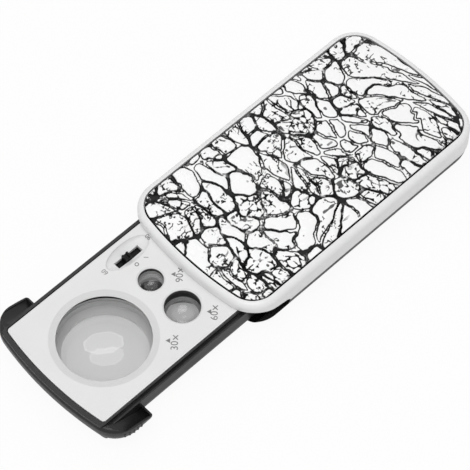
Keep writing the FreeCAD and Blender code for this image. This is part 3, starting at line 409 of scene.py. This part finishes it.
def black_barrel_material():
    """Painted shade: black above the rim of the 60x lens, and grey below it, where the lens shows it.
    """
    material = moulded(
        "barrel_black_look", dark=0.36, light=0.42, gloss=(0.42, 0.55), grain=(3000.0, 0.004))

    def shade_in(tree):
        return shade_ramp(tree, tree.axes(tree.place())["Z"], BARREL_SHADES)

    return darkened(material, shade_in)


BRONZE_DARK = (0.56, 0.36, 0.17)
BRONZE_LIGHT = (0.72, 0.50, 0.26)


def slot_materials():
    """The finish of each slot, and the grey one of PAINTED_GREY_PIECES."""
    return {
        "cover_white": moulded(
            "cover_white_look", dark=0.82, light=0.845, gloss=(0.30, 0.38), grain=(2600.0, 0.003)),
        "face_white": face_material(),
        "barrel_white": white_barrel_material(),
        "barrel_grey": moulded(
            "barrel_grey_look", dark=0.60, light=0.66, gloss=(0.42, 0.55), grain=(3000.0, 0.004)),
        "barrel_black": black_barrel_material(),
        "base_black": moulded(
            "base_black_look", dark=0.006, light=0.011, gloss=(0.30, 0.40), grain=(2400.0, 0.006),
            Specular_IOR_Level=0.34),
        "tray_black": moulded(
            "tray_black_look", dark=0.006, light=0.011, gloss=(0.27, 0.37), grain=(2400.0, 0.006),
            Specular_IOR_Level=0.34),
        "knob_black": moulded(
            "knob_black_look", dark=0.003, light=0.006, gloss=(0.36, 0.46), grain=(3000.0, 0.004),
            edge=0.08, Specular_IOR_Level=0.14),
        "screw_steel": metal(
            "screw_steel_look", dark=0.42, light=0.60, gloss=(0.22, 0.36), stretch=(1.0, 6.0, 1.0)),
        "switch_steel": metal(
            "switch_steel_look", dark=0.50, light=0.66, gloss=(0.26, 0.38), stretch=(8.0, 1.0, 1.0)),
        "cell_steel": metal(
            "cell_steel_look", dark=0.52, light=0.70, gloss=(0.18, 0.30), stretch=(1.0, 1.0, 8.0)),
        "contact_bronze": metal(
            "contact_bronze_look", dark=BRONZE_DARK, light=BRONZE_LIGHT, gloss=(0.22, 0.36)),
        "board_green": board_material(),
        "lens_clear": clear("lens_clear_look", tint=0.95, ior=1.49, gloss=(0.0, 0.004)),
        "led_clear": clear("led_clear_look", tint=(0.95, 0.95, 0.93), ior=1.5, gloss=(0.02, 0.08)),
        "led_violet": clear("led_violet_look", tint=(0.62, 0.50, 0.85), ior=1.5, gloss=(0.03, 0.10)),
    }


# Painted light and shade: the white ring round the 30x lens gets the grey finish as painted shade, and
# the 90x barrel gets it, lighter than the black barrels, as painted light in its well.
PAINTED_GREY_PIECES = ("barrel_90x", "lens_ring_30x")


def dress_nodes(looks):
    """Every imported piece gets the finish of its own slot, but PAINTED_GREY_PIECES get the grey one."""
    for node in NODES.values():
        for index, slot in enumerate(node.material_slots):
            node.data.materials[index] = looks[slot.material.name.split(".")[0]]
    for name in PAINTED_GREY_PIECES:
        NODES[name].data.materials[0] = looks["barrel_grey"]


# Light, floor and backdrop

WORLD_LEVEL = 0.57
FLOOR_RADIUS = 4.0
FLOOR_CORNERS = 64
FLOOR_WHITE = 0.88
FLOOR_MOTTLE = 40.0
FLOOR_SHOWN = 0.93
FLOOR_MIRRORED = 0.12
FLOOR_NEAR = 4.0
FLOOR_LIFT = 0.01
SOFTBOX_PLACE = Vector((0.321, 0.486, 0.957))
SOFTBOX_RADIUS = 0.24
SOFTBOX_SIDES = 8
SOFTBOX_HALF_SIDE = math.pi / SOFTBOX_SIDES
SOFTBOX_SHAPE = (0.86, 0.62, 1.0)
SOFTBOX_LEVEL = 4.4
SOFTBOX_MIDDLE = 0.72
SOFTBOX_RIM = (0.86, 0.91)
LAMP_PLACE = Vector((-0.35, -0.25, 1.3))
LAMP_SIZE = 0.9
LAMP_POWER = 7.4


def backdrop_share(tree, direct, mirrored):
    """Share of plain white that a ray sees: direct for the camera's own rays, mirrored for those
    off gloss and through glass, and none for the light on surfaces."""
    other = tree.math("MAXIMUM", tree.ray("Is Glossy Ray"), tree.ray("Is Transmission Ray"))
    own = tree.math("MULTIPLY", tree.ray("Is Camera Ray"), direct)
    return tree.math("MAXIMUM", own, tree.math("MULTIPLY", other, mirrored))


def add_world():
    world = bpy.data.worlds.new("studio")
    world.use_nodes = True
    tree = Nodes(world.node_tree)
    background = world.node_tree.nodes["Background"]
    level = tree.span(backdrop_share(tree, 1.0, 1.0), WORLD_LEVEL, 1.0)
    tree.link(level, background.inputs["Strength"])
    background.inputs["Color"].default_value = rgba(1.0)
    bpy.context.scene.world = world


def disc_mesh(name, radius, sides, turn=0.0):
    """A flat regular shape, with a corner towards +X before it is turned."""
    mesh = bpy.data.meshes.new(name)
    angles = [turn + 2 * math.pi * step / sides for step in range(sides)]
    spots = [(radius * math.cos(angle), radius * math.sin(angle), 0.0) for angle in angles]
    mesh.from_pydata(spots, [], [range(sides)])
    return mesh


def turn_to_object(thing, place):
    """Put a lamp or softbox at a place, with its lit side towards the object."""
    thing.location = place
    thing.rotation_mode = "QUATERNION"
    thing.rotation_quaternion = place.to_track_quat("Z", "Y")


def add_floor():
    """White paper that keeps the object's shadow, though it shows nearly white itself.

    From below it can't be seen, and it lets light through to faces that lie just above it,
    so that the underside can be looked at."""
    material, tree = stage_material("paper")
    paper = tree.add("ShaderNodeBsdfDiffuse")
    white = tree.ramp(tree.noise(FLOOR_MOTTLE), [(0.3, FLOOR_WHITE - 0.01), (0.7, FLOOR_WHITE)])
    tree.link(white, paper.inputs["Color"])
    glow = tree.add("ShaderNodeEmission")
    shown = tree.mix(
        backdrop_share(tree, FLOOR_SHOWN, FLOOR_MIRRORED), paper.outputs[0], glow.outputs[0])
    near = tree.math("LESS_THAN", tree.ray("Ray Length"), FLOOR_NEAR * MM)
    near = tree.math("MULTIPLY", tree.ray("Is Diffuse Ray"), near)
    below = tree.add("ShaderNodeNewGeometry").outputs["Backfacing"]
    passing = tree.add("ShaderNodeBsdfTransparent")
    surface = tree.mix(tree.math("MAXIMUM", below, near), shown, passing.outputs[0])
    tree.link(surface, tree.add("ShaderNodeOutputMaterial").inputs["Surface"])
    floor = new_object("floor", disc_mesh("floor", FLOOR_RADIUS, FLOOR_CORNERS), material)
    floor.location.z = FLOOR_LIFT * MM


def rim_reach(tree):
    """How near a point of the softbox lies to its sides, 1 on them."""
    spot = tree.axes(tree.place())
    across, along = (tree.math("ABSOLUTE", spot[axis]) for axis in "XY")
    slant = tree.math("MULTIPLY", tree.math("ADD", across, along), math.sqrt(0.5))
    reach = tree.math("MAXIMUM", tree.math("MAXIMUM", across, along), slant)
    return tree.math("DIVIDE", reach, SOFTBOX_RADIUS * math.cos(SOFTBOX_HALF_SIDE))


def add_softbox():
    """Eight-sided softbox behind the object, where its glossy faces mirror it to the camera."""
    material, tree = stage_material("softbox")
    glow = tree.add("ShaderNodeEmission")
    level = tree.ramp(rim_reach(tree), list(zip(SOFTBOX_RIM, (SOFTBOX_MIDDLE, 1.0))))
    tree.link(tree.math("MULTIPLY", level, SOFTBOX_LEVEL), glow.inputs["Strength"])
    tree.link(glow.outputs[0], tree.add("ShaderNodeOutputMaterial").inputs["Surface"])
    shape = disc_mesh("softbox", SOFTBOX_RADIUS, SOFTBOX_SIDES, SOFTBOX_HALF_SIDE)
    softbox = new_object("softbox", shape, material)
    turn_to_object(softbox, SOFTBOX_PLACE)
    softbox.scale = SOFTBOX_SHAPE
    softbox.visible_camera = False


def add_top_lamp():
    data = bpy.data.lights.new("top_lamp", "AREA")
    data.shape = "SQUARE"
    data.size = LAMP_SIZE
    data.energy = LAMP_POWER
    turn_to_object(new_object("top_lamp", data), LAMP_PLACE)


# Decorated panel: embossed crackle over the plate in the cover, in millimetres. Its ends
# are bowed, its corners round, and its points lie on a grid of rows and columns.

PANEL_LOW, PANEL_HIGH = (np.array(corner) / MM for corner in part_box("sleeve_panel"))
PANEL_CORNER = 6.27
PANEL_BOW = 88.27
GRID = 0.12
BORDER = 0.16
EDGE_ROUND = 0.3
LEVEL_DROP = 0.10
rng = np.random.default_rng(41)


def panel_reach(y):
    """How far the panel's two bowed ends reach along X at each y."""
    half = PANEL_HIGH[1]
    centre = PANEL_HIGH[0] - PANEL_BOW
    inner = half - PANEL_CORNER
    corner_centre = centre + math.sqrt((PANEL_BOW - PANEL_CORNER) ** 2 - inner ** 2)
    aside = np.abs(y)
    on_bow = centre + np.sqrt(PANEL_BOW ** 2 - aside ** 2)
    rise = np.clip(PANEL_CORNER ** 2 - np.clip(aside - inner, 0, None) ** 2, 0, None)
    on_corner = corner_centre + np.sqrt(rise)
    rear = np.where(aside < inner * PANEL_BOW / (PANEL_BOW - PANEL_CORNER), on_bow, on_corner)
    middle = (PANEL_LOW[0] + PANEL_HIGH[0]) / 2
    return 2 * middle - rear, rear


def held(value):
    """The value held between 0 and 1."""
    return np.clip(value, 0, 1)


def rising(value, low, high):
    """0 up to low, 1 from high on, and a straight slope between."""
    return held((value - low) / (high - low))


def falling(value, low, high):
    """1 up to low, 0 from high on, and a straight slope between."""
    return held((high - value) / (high - low))


LATTICE = 256


def smooth_noise(x, y, size):
    """Smooth random values in -1..1 with features of about that size."""
    u, v = x / size, y / size
    lattice = rng.uniform(-1, 1, (LATTICE, LATTICE))
    i, j = np.floor(u).astype(int), np.floor(v).astype(int)
    s, t = u - i, v - j
    i, j, i_next, j_next = i % LATTICE, j % LATTICE, (i + 1) % LATTICE, (j + 1) % LATTICE
    s, t = s * s * (3 - 2 * s), t * t * (3 - 2 * t)
    low = lattice[i, j] * (1 - s) + lattice[i_next, j] * s
    high = lattice[i, j_next] * (1 - s) + lattice[i_next, j_next] * s
    return low * (1 - t) + high * t


def layered(x, y, *layers):
    """Smooth noise in several sizes; each layer is (weight, size)."""
    return sum(weight * smooth_noise(x, y, size) for weight, size in layers)


# Where the cracks run: they are the borders between scattered sites in a warped plane
BENDS = ((2.2, 11.0), (0.8, 3.4), (0.2, 1.0))
LEAN = 0.10
LEAN_LAYER = (0.30, 22.0)
SQUEEZE = (1.08, 0.66)
CRACK_SITES = {"pitch": 3.7, "kept": 0.64, "jitter": 0.46}
CRACK_SOFTNESS = 0.33
PEBBLE_SQUEEZE = (0.94, 1.4)
PEBBLE_SITES = {"pitch": 2.0, "kept": 0.8, "jitter": 0.42}
PEBBLE_SOFTNESS = 0.15
SITE_MARGIN = 12.0
NEAREST = 6
LEAST_SLOPE = 0.35


def warped(x, y):
    """The points in the plane of the sites, which is bent, leans and is squeezed."""
    bend_x = layered(x, y, *BENDS)
    bend_y = layered(x, y, *BENDS)
    lean = LEAN + layered(x, y, LEAN_LAYER)
    return (x + lean * y + bend_x) * SQUEEZE[0], (y - lean * x + bend_y) * SQUEEZE[1]


def scattered_sites(pitch, kept, jitter):
    """Sites of a loose crackle: a jittered grid with some of its sites left out."""
    xs = np.arange(PANEL_LOW[0] - SITE_MARGIN, PANEL_HIGH[0] + SITE_MARGIN, pitch)
    ys = np.arange(PANEL_LOW[1] - SITE_MARGIN, PANEL_HIGH[1] + SITE_MARGIN, pitch)
    grid = np.stack(np.meshgrid(xs, ys, indexing="ij"), -1).reshape(-1, 2)
    grid = grid + rng.uniform(-jitter, jitter, grid.shape) * pitch
    return grid[rng.random(len(grid)) < kept]


def border_distance(u, v, sites, softness):
    """Distance in the warped plane to the border between the nearest sites, eased at their corners."""
    tree = KDTree(len(sites))
    for number, (a, b) in enumerate(sites):
        tree.insert((a, b, 0.0), number)
    tree.balance()
    near = np.array([
        [(number, apart) for _, number, apart in tree.find_n((a, b, 0.0), NEAREST)]
        for a, b in zip(u.ravel(), v.ravel())
    ])
    owner, apart = near[:, :, 0].astype(int), near[:, :, 1] ** 2
    between = np.sqrt(((sites[owner[:, 1:]] - sites[owner[:, :1]]) ** 2).sum(-1))
    borders = (apart[:, 1:] - apart[:, :1]) / (2 * between)
    eased = -softness * np.log(np.exp(-borders / softness).sum(1))
    return eased.reshape(u.shape)


def filled_in(values):
    """Values known at every second point, with those between them filled in."""
    tall = np.repeat(values, 2, axis=0)[:-1]
    tall[1::2] = (values[:-1] + values[1:]) / 2
    full = np.repeat(tall, 2, axis=1)[:, :-1]
    full[:, 1::2] = (tall[:, :-1] + tall[:, 1:]) / 2
    return full


def evened(distance, x, y):
    """The distance in real millimetres: the warp stretches it, so it is divided by its slope."""
    along = np.gradient(distance, axis=0) / np.gradient(x, axis=0)
    across = np.gradient(distance, axis=1) / np.gradient(y, axis=1)
    return distance / np.clip(np.hypot(along, across), LEAST_SLOPE, None)


def crack_distance(x, y, u, v, sites, softness):
    """Distance in millimetres to the nearest crack, from every second point of the grid."""
    coarse = border_distance(u[::2, ::2], v[::2, ::2], sites, softness)
    return filled_in(evened(coarse, x[::2, ::2], y[::2, ::2]))


# Main cracks: half widths in millimetres, and places across a crack as shares of its half width
ROUGH_SIZE = 0.4
STRENGTH = 0.65
STRENGTH_RISE = 0.004
STRENGTH_LAYERS = ((0.42, 5.5), (0.25, 1.5))
STRONGEST = 1.2
WIDTH = 0.13
WIDTH_GAIN = 0.29
WIDTH_ROUGH = 0.03
LINE_EDGE = (0.92, 1.14)
CORE_EDGE = (0.42, 0.62)
CORE_WIDTHS = (0.23, 0.28)
PARTED_EDGE = (0.3, 0.5)
PARTED_WIDTHS = (0.35, 0.38)
WHOLE_WIDTHS = (0.30, 0.36)
TORN = 1.15
TORN_LAYER = (1.2, 1.8)
TORN_ROUGH = 0.4


def main_cracks(x, y, distance):
    """Half width of the cracks, and where their dark line, their paler core and, in the
    widest, the foil between two parted lines are."""
    rough = smooth_noise(x, y, ROUGH_SIZE)
    strength = STRENGTH + STRENGTH_RISE * x + layered(x, y, *STRENGTH_LAYERS)
    width = WIDTH + WIDTH_GAIN * np.clip(strength, 0.0, STRONGEST) + WIDTH_ROUGH * rough
    across = distance / width
    core = falling(across, *CORE_EDGE) * rising(width, *CORE_WIDTHS)
    parted = falling(across, *PARTED_EDGE) * rising(width, *PARTED_WIDTHS)
    torn = held(TORN + layered(x, y, TORN_LAYER) + TORN_ROUGH * rough)
    line = falling(across, *LINE_EDGE) * np.maximum(torn, rising(width, *WHOLE_WIDTHS))
    return width, line, core, parted


# Finer marks: patches of pebbles, scribbles where the foil is worn, and stains
STONY_LAYERS = ((1.0, 7.0), (0.3, 2.0))
STONY = (0.16, 0.28)
SEAM_WIDTH = 0.15
SEAM_LAYER = (0.07, 1.2)
SEAM_EDGE = (0.8, 1.2)
SEAM_KEPT = 1.1
SEAM_KEPT_LAYER = (1.2, 1.4)
WORN_LAYERS = ((1.0, 6.0), (0.45, 1.7))
WORN = (0.16, 0.31)
CURL_LAYERS = ((1.0, 0.95), (0.55, 0.5))
CURL_LEVEL = 0.1
CURL_EDGE = (0.14, 0.26)
CURL_KEPT = 0.35
CURL_KEPT_LAYER = (1.9, 0.85)
STAIN_SIZE = 1.15
STAIN = (0.66, 0.76)
STAIN_KEPT = 0.2
STAIN_KEPT_LAYER = (1.4, 5.0)


def pebble_seams(x, y, distance):
    stony = rising(layered(x, y, *STONY_LAYERS), *STONY)
    width = SEAM_WIDTH + layered(x, y, SEAM_LAYER)
    seam = falling(distance / width, *SEAM_EDGE) * stony
    return seam * held(SEAM_KEPT + layered(x, y, SEAM_KEPT_LAYER))


def scribbles(x, y):
    worn = rising(layered(x, y, *WORN_LAYERS), *WORN)
    curl = layered(x, y, *CURL_LAYERS)
    scribble = falling(np.abs(curl - CURL_LEVEL), *CURL_EDGE) * worn
    return scribble * held(CURL_KEPT + layered(x, y, CURL_KEPT_LAYER))


def stains(x, y):
    stain = rising(smooth_noise(x, y, STAIN_SIZE), *STAIN)
    return stain * held(STAIN_KEPT + layered(x, y, STAIN_KEPT_LAYER))


# How dark each kind of mark is, and how deep in millimetres
CORE_PALE = 0.2
PARTED_PALE = 0.9
SEAM_DARK = 0.9
SCRIBBLE_DARK = 0.82
STAIN_DARK = 0.55
PILLOW_RISE = 0.09
PILLOW_REACH = 0.5
CRACK_DEPTH = 0.2
CORE_RISE = 0.55
FINE_DEPTH = 0.08


def crackle(x, y):
    """Height in millimetres and grey level of the embossed crackle."""
    u, v = warped(x, y)
    main = crack_distance(x, y, u, v, scattered_sites(**CRACK_SITES), CRACK_SOFTNESS)
    pebble_u, pebble_v = u * PEBBLE_SQUEEZE[0], v * PEBBLE_SQUEEZE[1]
    pebble = crack_distance(
        x, y, pebble_u, pebble_v, scattered_sites(**PEBBLE_SITES), PEBBLE_SOFTNESS)
    width, line, core, parted = main_cracks(x, y, main)
    seam = pebble_seams(x, y, pebble)
    scribble = scribbles(x, y)
    stain = stains(x, y)

    dark = line * (1 - CORE_PALE * core) * (1 - PARTED_PALE * parted)
    dark = np.maximum.reduce([dark, SEAM_DARK * seam, SCRIBBLE_DARK * scribble, STAIN_DARK * stain])
    pillow = PILLOW_RISE * (1 - np.exp(-np.clip(main - width, 0, None) / PILLOW_REACH))
    sunk = CRACK_DEPTH * line * (1 - CORE_RISE * core)
    fine = FINE_DEPTH * np.maximum(seam, scribble) * (1 - line)
    return pillow - sunk - fine, 1 - dark


def panel_points():
    """Points over the plate, columns along X by rows along Y, and how far inside its edge they lie."""
    rows, columns = (2 * int(round(span / GRID / 2)) + 1 for span in (PANEL_HIGH - PANEL_LOW)[1::-1])
    y = np.linspace(PANEL_LOW[1], PANEL_HIGH[1], rows)
    front, rear = panel_reach(y)
    share = np.linspace(0, 1, columns)[:, None]
    x = front[None] + (rear - front)[None] * share
    y = np.broadcast_to(y[None], x.shape).copy()
    inward = np.minimum(np.minimum(x - front, rear - x), PANEL_HIGH[1] - np.abs(y))
    return x, y, inward


def panel_mesh(x, y, z, tone):
    """A closed plate with its top through the points, and their tones as a colour attribute."""
    top = np.stack([x, y, z], -1).reshape(-1, 3) * MM
    index = np.arange(x.size).reshape(x.shape)
    quads = np.stack([index[:-1, :-1], index[1:, :-1], index[1:, 1:], index[:-1, 1:]], -1)
    loop = np.concatenate([index[:-1, 0], index[-1, :-1], index[:0:-1, -1], index[0, :0:-1]])
    below = top[loop].copy()
    below[:, 2] = PANEL_LOW[2] * MM
    lower = np.arange(len(loop)) + len(top)
    sides = np.stack([loop, lower, np.roll(lower, -1), np.roll(loop, -1)], -1)
    faces = [*quads.reshape(-1, 4).tolist(), *sides.tolist(), lower[::-1].tolist()]

    mesh = bpy.data.meshes.new("crackle_panel")
    mesh.from_pydata(np.concatenate([top, below]).tolist(), [], faces)
    tones = np.concatenate([tone.ravel(), np.zeros(len(loop))])
    layer = mesh.color_attributes.new("tone", "FLOAT_COLOR", "POINT")
    layer.data.foreach_set("color", np.stack([tones] * 3 + [np.ones(len(tones))], -1).ravel())
    mesh.polygons.foreach_set("use_smooth", np.ones(len(faces), bool))
    mesh.update()
    return mesh


def add_panel(look):
    """The whole plate: crackled top, rounded edge, side and underside."""
    x, y, inward = panel_points()
    height, tone = crackle(x, y)
    tone = np.minimum(tone, held((inward - BORDER) / BORDER))
    edge = held(1 - inward / EDGE_ROUND)
    rim_drop = EDGE_ROUND * (1 - np.sqrt(1 - edge ** 2))
    z = PANEL_HIGH[2] - LEVEL_DROP + height * held(inward / EDGE_ROUND) - rim_drop
    panel = new_object("crackle_panel", panel_mesh(x, y, z, tone), look)
    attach(panel, "sleeve")
    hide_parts("sleeve_panel")


def panel_material():
    """Bright foil on the plates, black in the cracks, grey on the cracks' cores."""
    material, tree, shader = new_material("panel_silver_look")
    tone = tree.add("ShaderNodeAttribute", attribute_name="tone").outputs["Fac"]
    tree.dress(
        shader,
        tree.ramp(tone, [(0.0, 0.002), (0.3, 0.018), (0.62, 0.18), (0.92, 0.95)]),
        tree.span(tree.noise(700.0, detail=4.0), 0.18, 0.34),
        tree.bump(tree.noise(2200.0), 0.006 * MM),
    )
    tree.link(tree.span(tone, 0.0, 0.5), shader.inputs["Specular IOR Level"])
    return material


# Printed marks on the faceplate, in millimetres

FACE_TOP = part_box("faceplate")[1].z
INK = 0.02
READING = math.radians(45)
UPWARD = math.radians(90)
LETTER_STEPS = 4
POWER_HEIGHT = 1.7
SWITCH_HEIGHT = 1.1
STROKE = 0.12
TIMES_ARM = 0.8
TIMES_GAP = 0.95
TIMES_RISE = 0.62
ARROW = ((-0.6, -0.35), (0.6, -0.35), (0.0, 0.69))
RING_RADIUS = 0.42
RING_STROKE = 0.2
RING_STEPS = 24

# The number beside each lens, with the places of its lower left corner and of its arrowhead
# from the lens's axis
POWERS = {
    "lens_90x": ("90", (4.7575, -5.63), (4.7275, -2.68)),
    "lens_60x": ("60", (3.2376, -8.19), (3.4376, -5.35)),
    "lens_30x": ("30", (9.8375, -13.79), (9.9375, -10.61)),
}

# Marks beside the switch, with their places from the knob's middle
SWITCH_NUMBERS = (
    ("60", (-6.0, -0.45), UPWARD),
    ("90", (7.6, -0.45), UPWARD),
    ("1", (3.3, -3.85), READING),
)
SWITCH_RING = (0.15, -3.3)


def ink_material():
    material, tree, shader = new_material("ink_grey_look")
    tree.dress(
        shader,
        tree.ramp(tree.noise(4000.0), [(0.3, 0.15), (0.8, 0.25)]),
        tree.span(tree.noise(1800.0), 0.45, 0.6),
    )
    return material


def number_mesh(text, height):
    """A number as a thin printed shape, with its lower left corner at the origin."""
    data = bpy.data.curves.new("number", "FONT")
    data.body = text
    data.extrude = INK * MM / 2
    data.resolution_u = LETTER_STEPS
    shaped = bpy.data.objects.new("number", data)
    mesh = bpy.data.meshes.new_from_object(shaped)
    corners = np.array([vertex.co for vertex in mesh.vertices])
    low, high = corners.min(0), corners.max(0)
    scale = height * MM / (high[1] - low[1])
    size = Matrix.Diagonal((scale, scale, 1.0, 1.0))
    mesh.transform(size @ Matrix.Translation((-low[0], -low[1], INK * MM / 2)))
    bpy.data.objects.remove(shaped)
    return mesh


def flat_mesh(spots):
    """A thin printed shape through spots that run anticlockwise."""
    mesh = bpy.data.meshes.new("mark")
    count = len(spots)
    verts = [(x * MM, y * MM, z * MM) for z in (0.0, INK) for x, y in spots]
    sides = [(i, (i + 1) % count, count + (i + 1) % count, count + i) for i in range(count)]
    mesh.from_pydata(verts, [], [tuple(range(count))[::-1], tuple(range(count, 2 * count)), *sides])
    return mesh


def times_spots():
    """Outline of a sign of two crossed strokes."""
    arm = [Vector((STROKE, -STROKE)), Vector((TIMES_ARM, -STROKE)), Vector((TIMES_ARM, STROKE))]
    turns = [Matrix.Rotation(math.pi / 4 + quarter * math.pi / 2, 2) for quarter in range(4)]
    return [turn @ corner for turn in turns for corner in arm]


def ring_mesh(radius, stroke):
    """A thin printed ring with square section, four points at each step round it."""
    mesh = bpy.data.meshes.new("ring")
    verts, faces = [], []
    for step in range(RING_STEPS):
        angle = 2 * math.pi * step / RING_STEPS
        for reach in (radius - stroke / 2, radius + stroke / 2):
            for z in (0.0, INK):
                verts.append((reach * MM * math.cos(angle), reach * MM * math.sin(angle), z * MM))
    for step in range(RING_STEPS):
        a, b = 4 * step, 4 * ((step + 1) % RING_STEPS)
        faces += [(a, b, b + 1, a + 1), (a + 3, b + 3, b + 2, a + 2)]
        faces += [(a + 1, b + 1, b + 3, a + 3), (a + 2, b + 2, b, a)]
    mesh.from_pydata(verts, [], faces)
    return mesh


def power_stamps(lens, text, corner, tip):
    """A lens's power with its times sign, and an arrowhead towards the lens."""
    corner = middle_of(lens) + Vector(corner)
    number = number_mesh(text, POWER_HEIGHT)
    after = max(vertex.co.x for vertex in number.vertices) / MM + TIMES_GAP
    centre = corner + Matrix.Rotation(READING, 2) @ Vector((after, TIMES_RISE))
    return [
        (number, corner, READING),
        (flat_mesh(times_spots()), centre, READING),
        (flat_mesh(ARROW), middle_of(lens) + Vector(tip), READING),
    ]


def switch_stamps():
    """Numbers for the lamps, and a ring where the switch is off."""
    knob = middle_of("switch_knob")
    stamps = [
        (number_mesh(text, SWITCH_HEIGHT), knob + Vector(corner), turn)
        for text, corner, turn in SWITCH_NUMBERS
    ]
    return [*stamps, (ring_mesh(RING_RADIUS, RING_STROKE), knob + Vector(SWITCH_RING), 0.0)]


def add_marks(look):
    """All printed marks as one piece; each stamp is a mesh, its place and its turn."""
    stamps = [stamp for lens, marks in POWERS.items() for stamp in power_stamps(lens, *marks)]
    joined = bmesh.new()
    for stamp, place, turn in stamps + switch_stamps():
        shift = Matrix.Translation((place.x * MM, place.y * MM, FACE_TOP))
        stamp.transform(shift @ Matrix.Rotation(turn, 4, "Z"))
        joined.from_mesh(stamp)
        bpy.data.meshes.remove(stamp)
    mesh = bpy.data.meshes.new("face_marks")
    joined.to_mesh(mesh)
    joined.free()
    marks = new_object("face_marks", mesh, look)
    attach(marks, "drawer")


add_camera()
add_world()
add_floor()
add_softbox()
add_top_lamp()
foil = panel_material()
dress_nodes(slot_materials() | {"panel_silver": foil})
add_panel(foil)
add_marks(ink_material())

bpy.context.scene.view_settings.view_transform = "Standard"
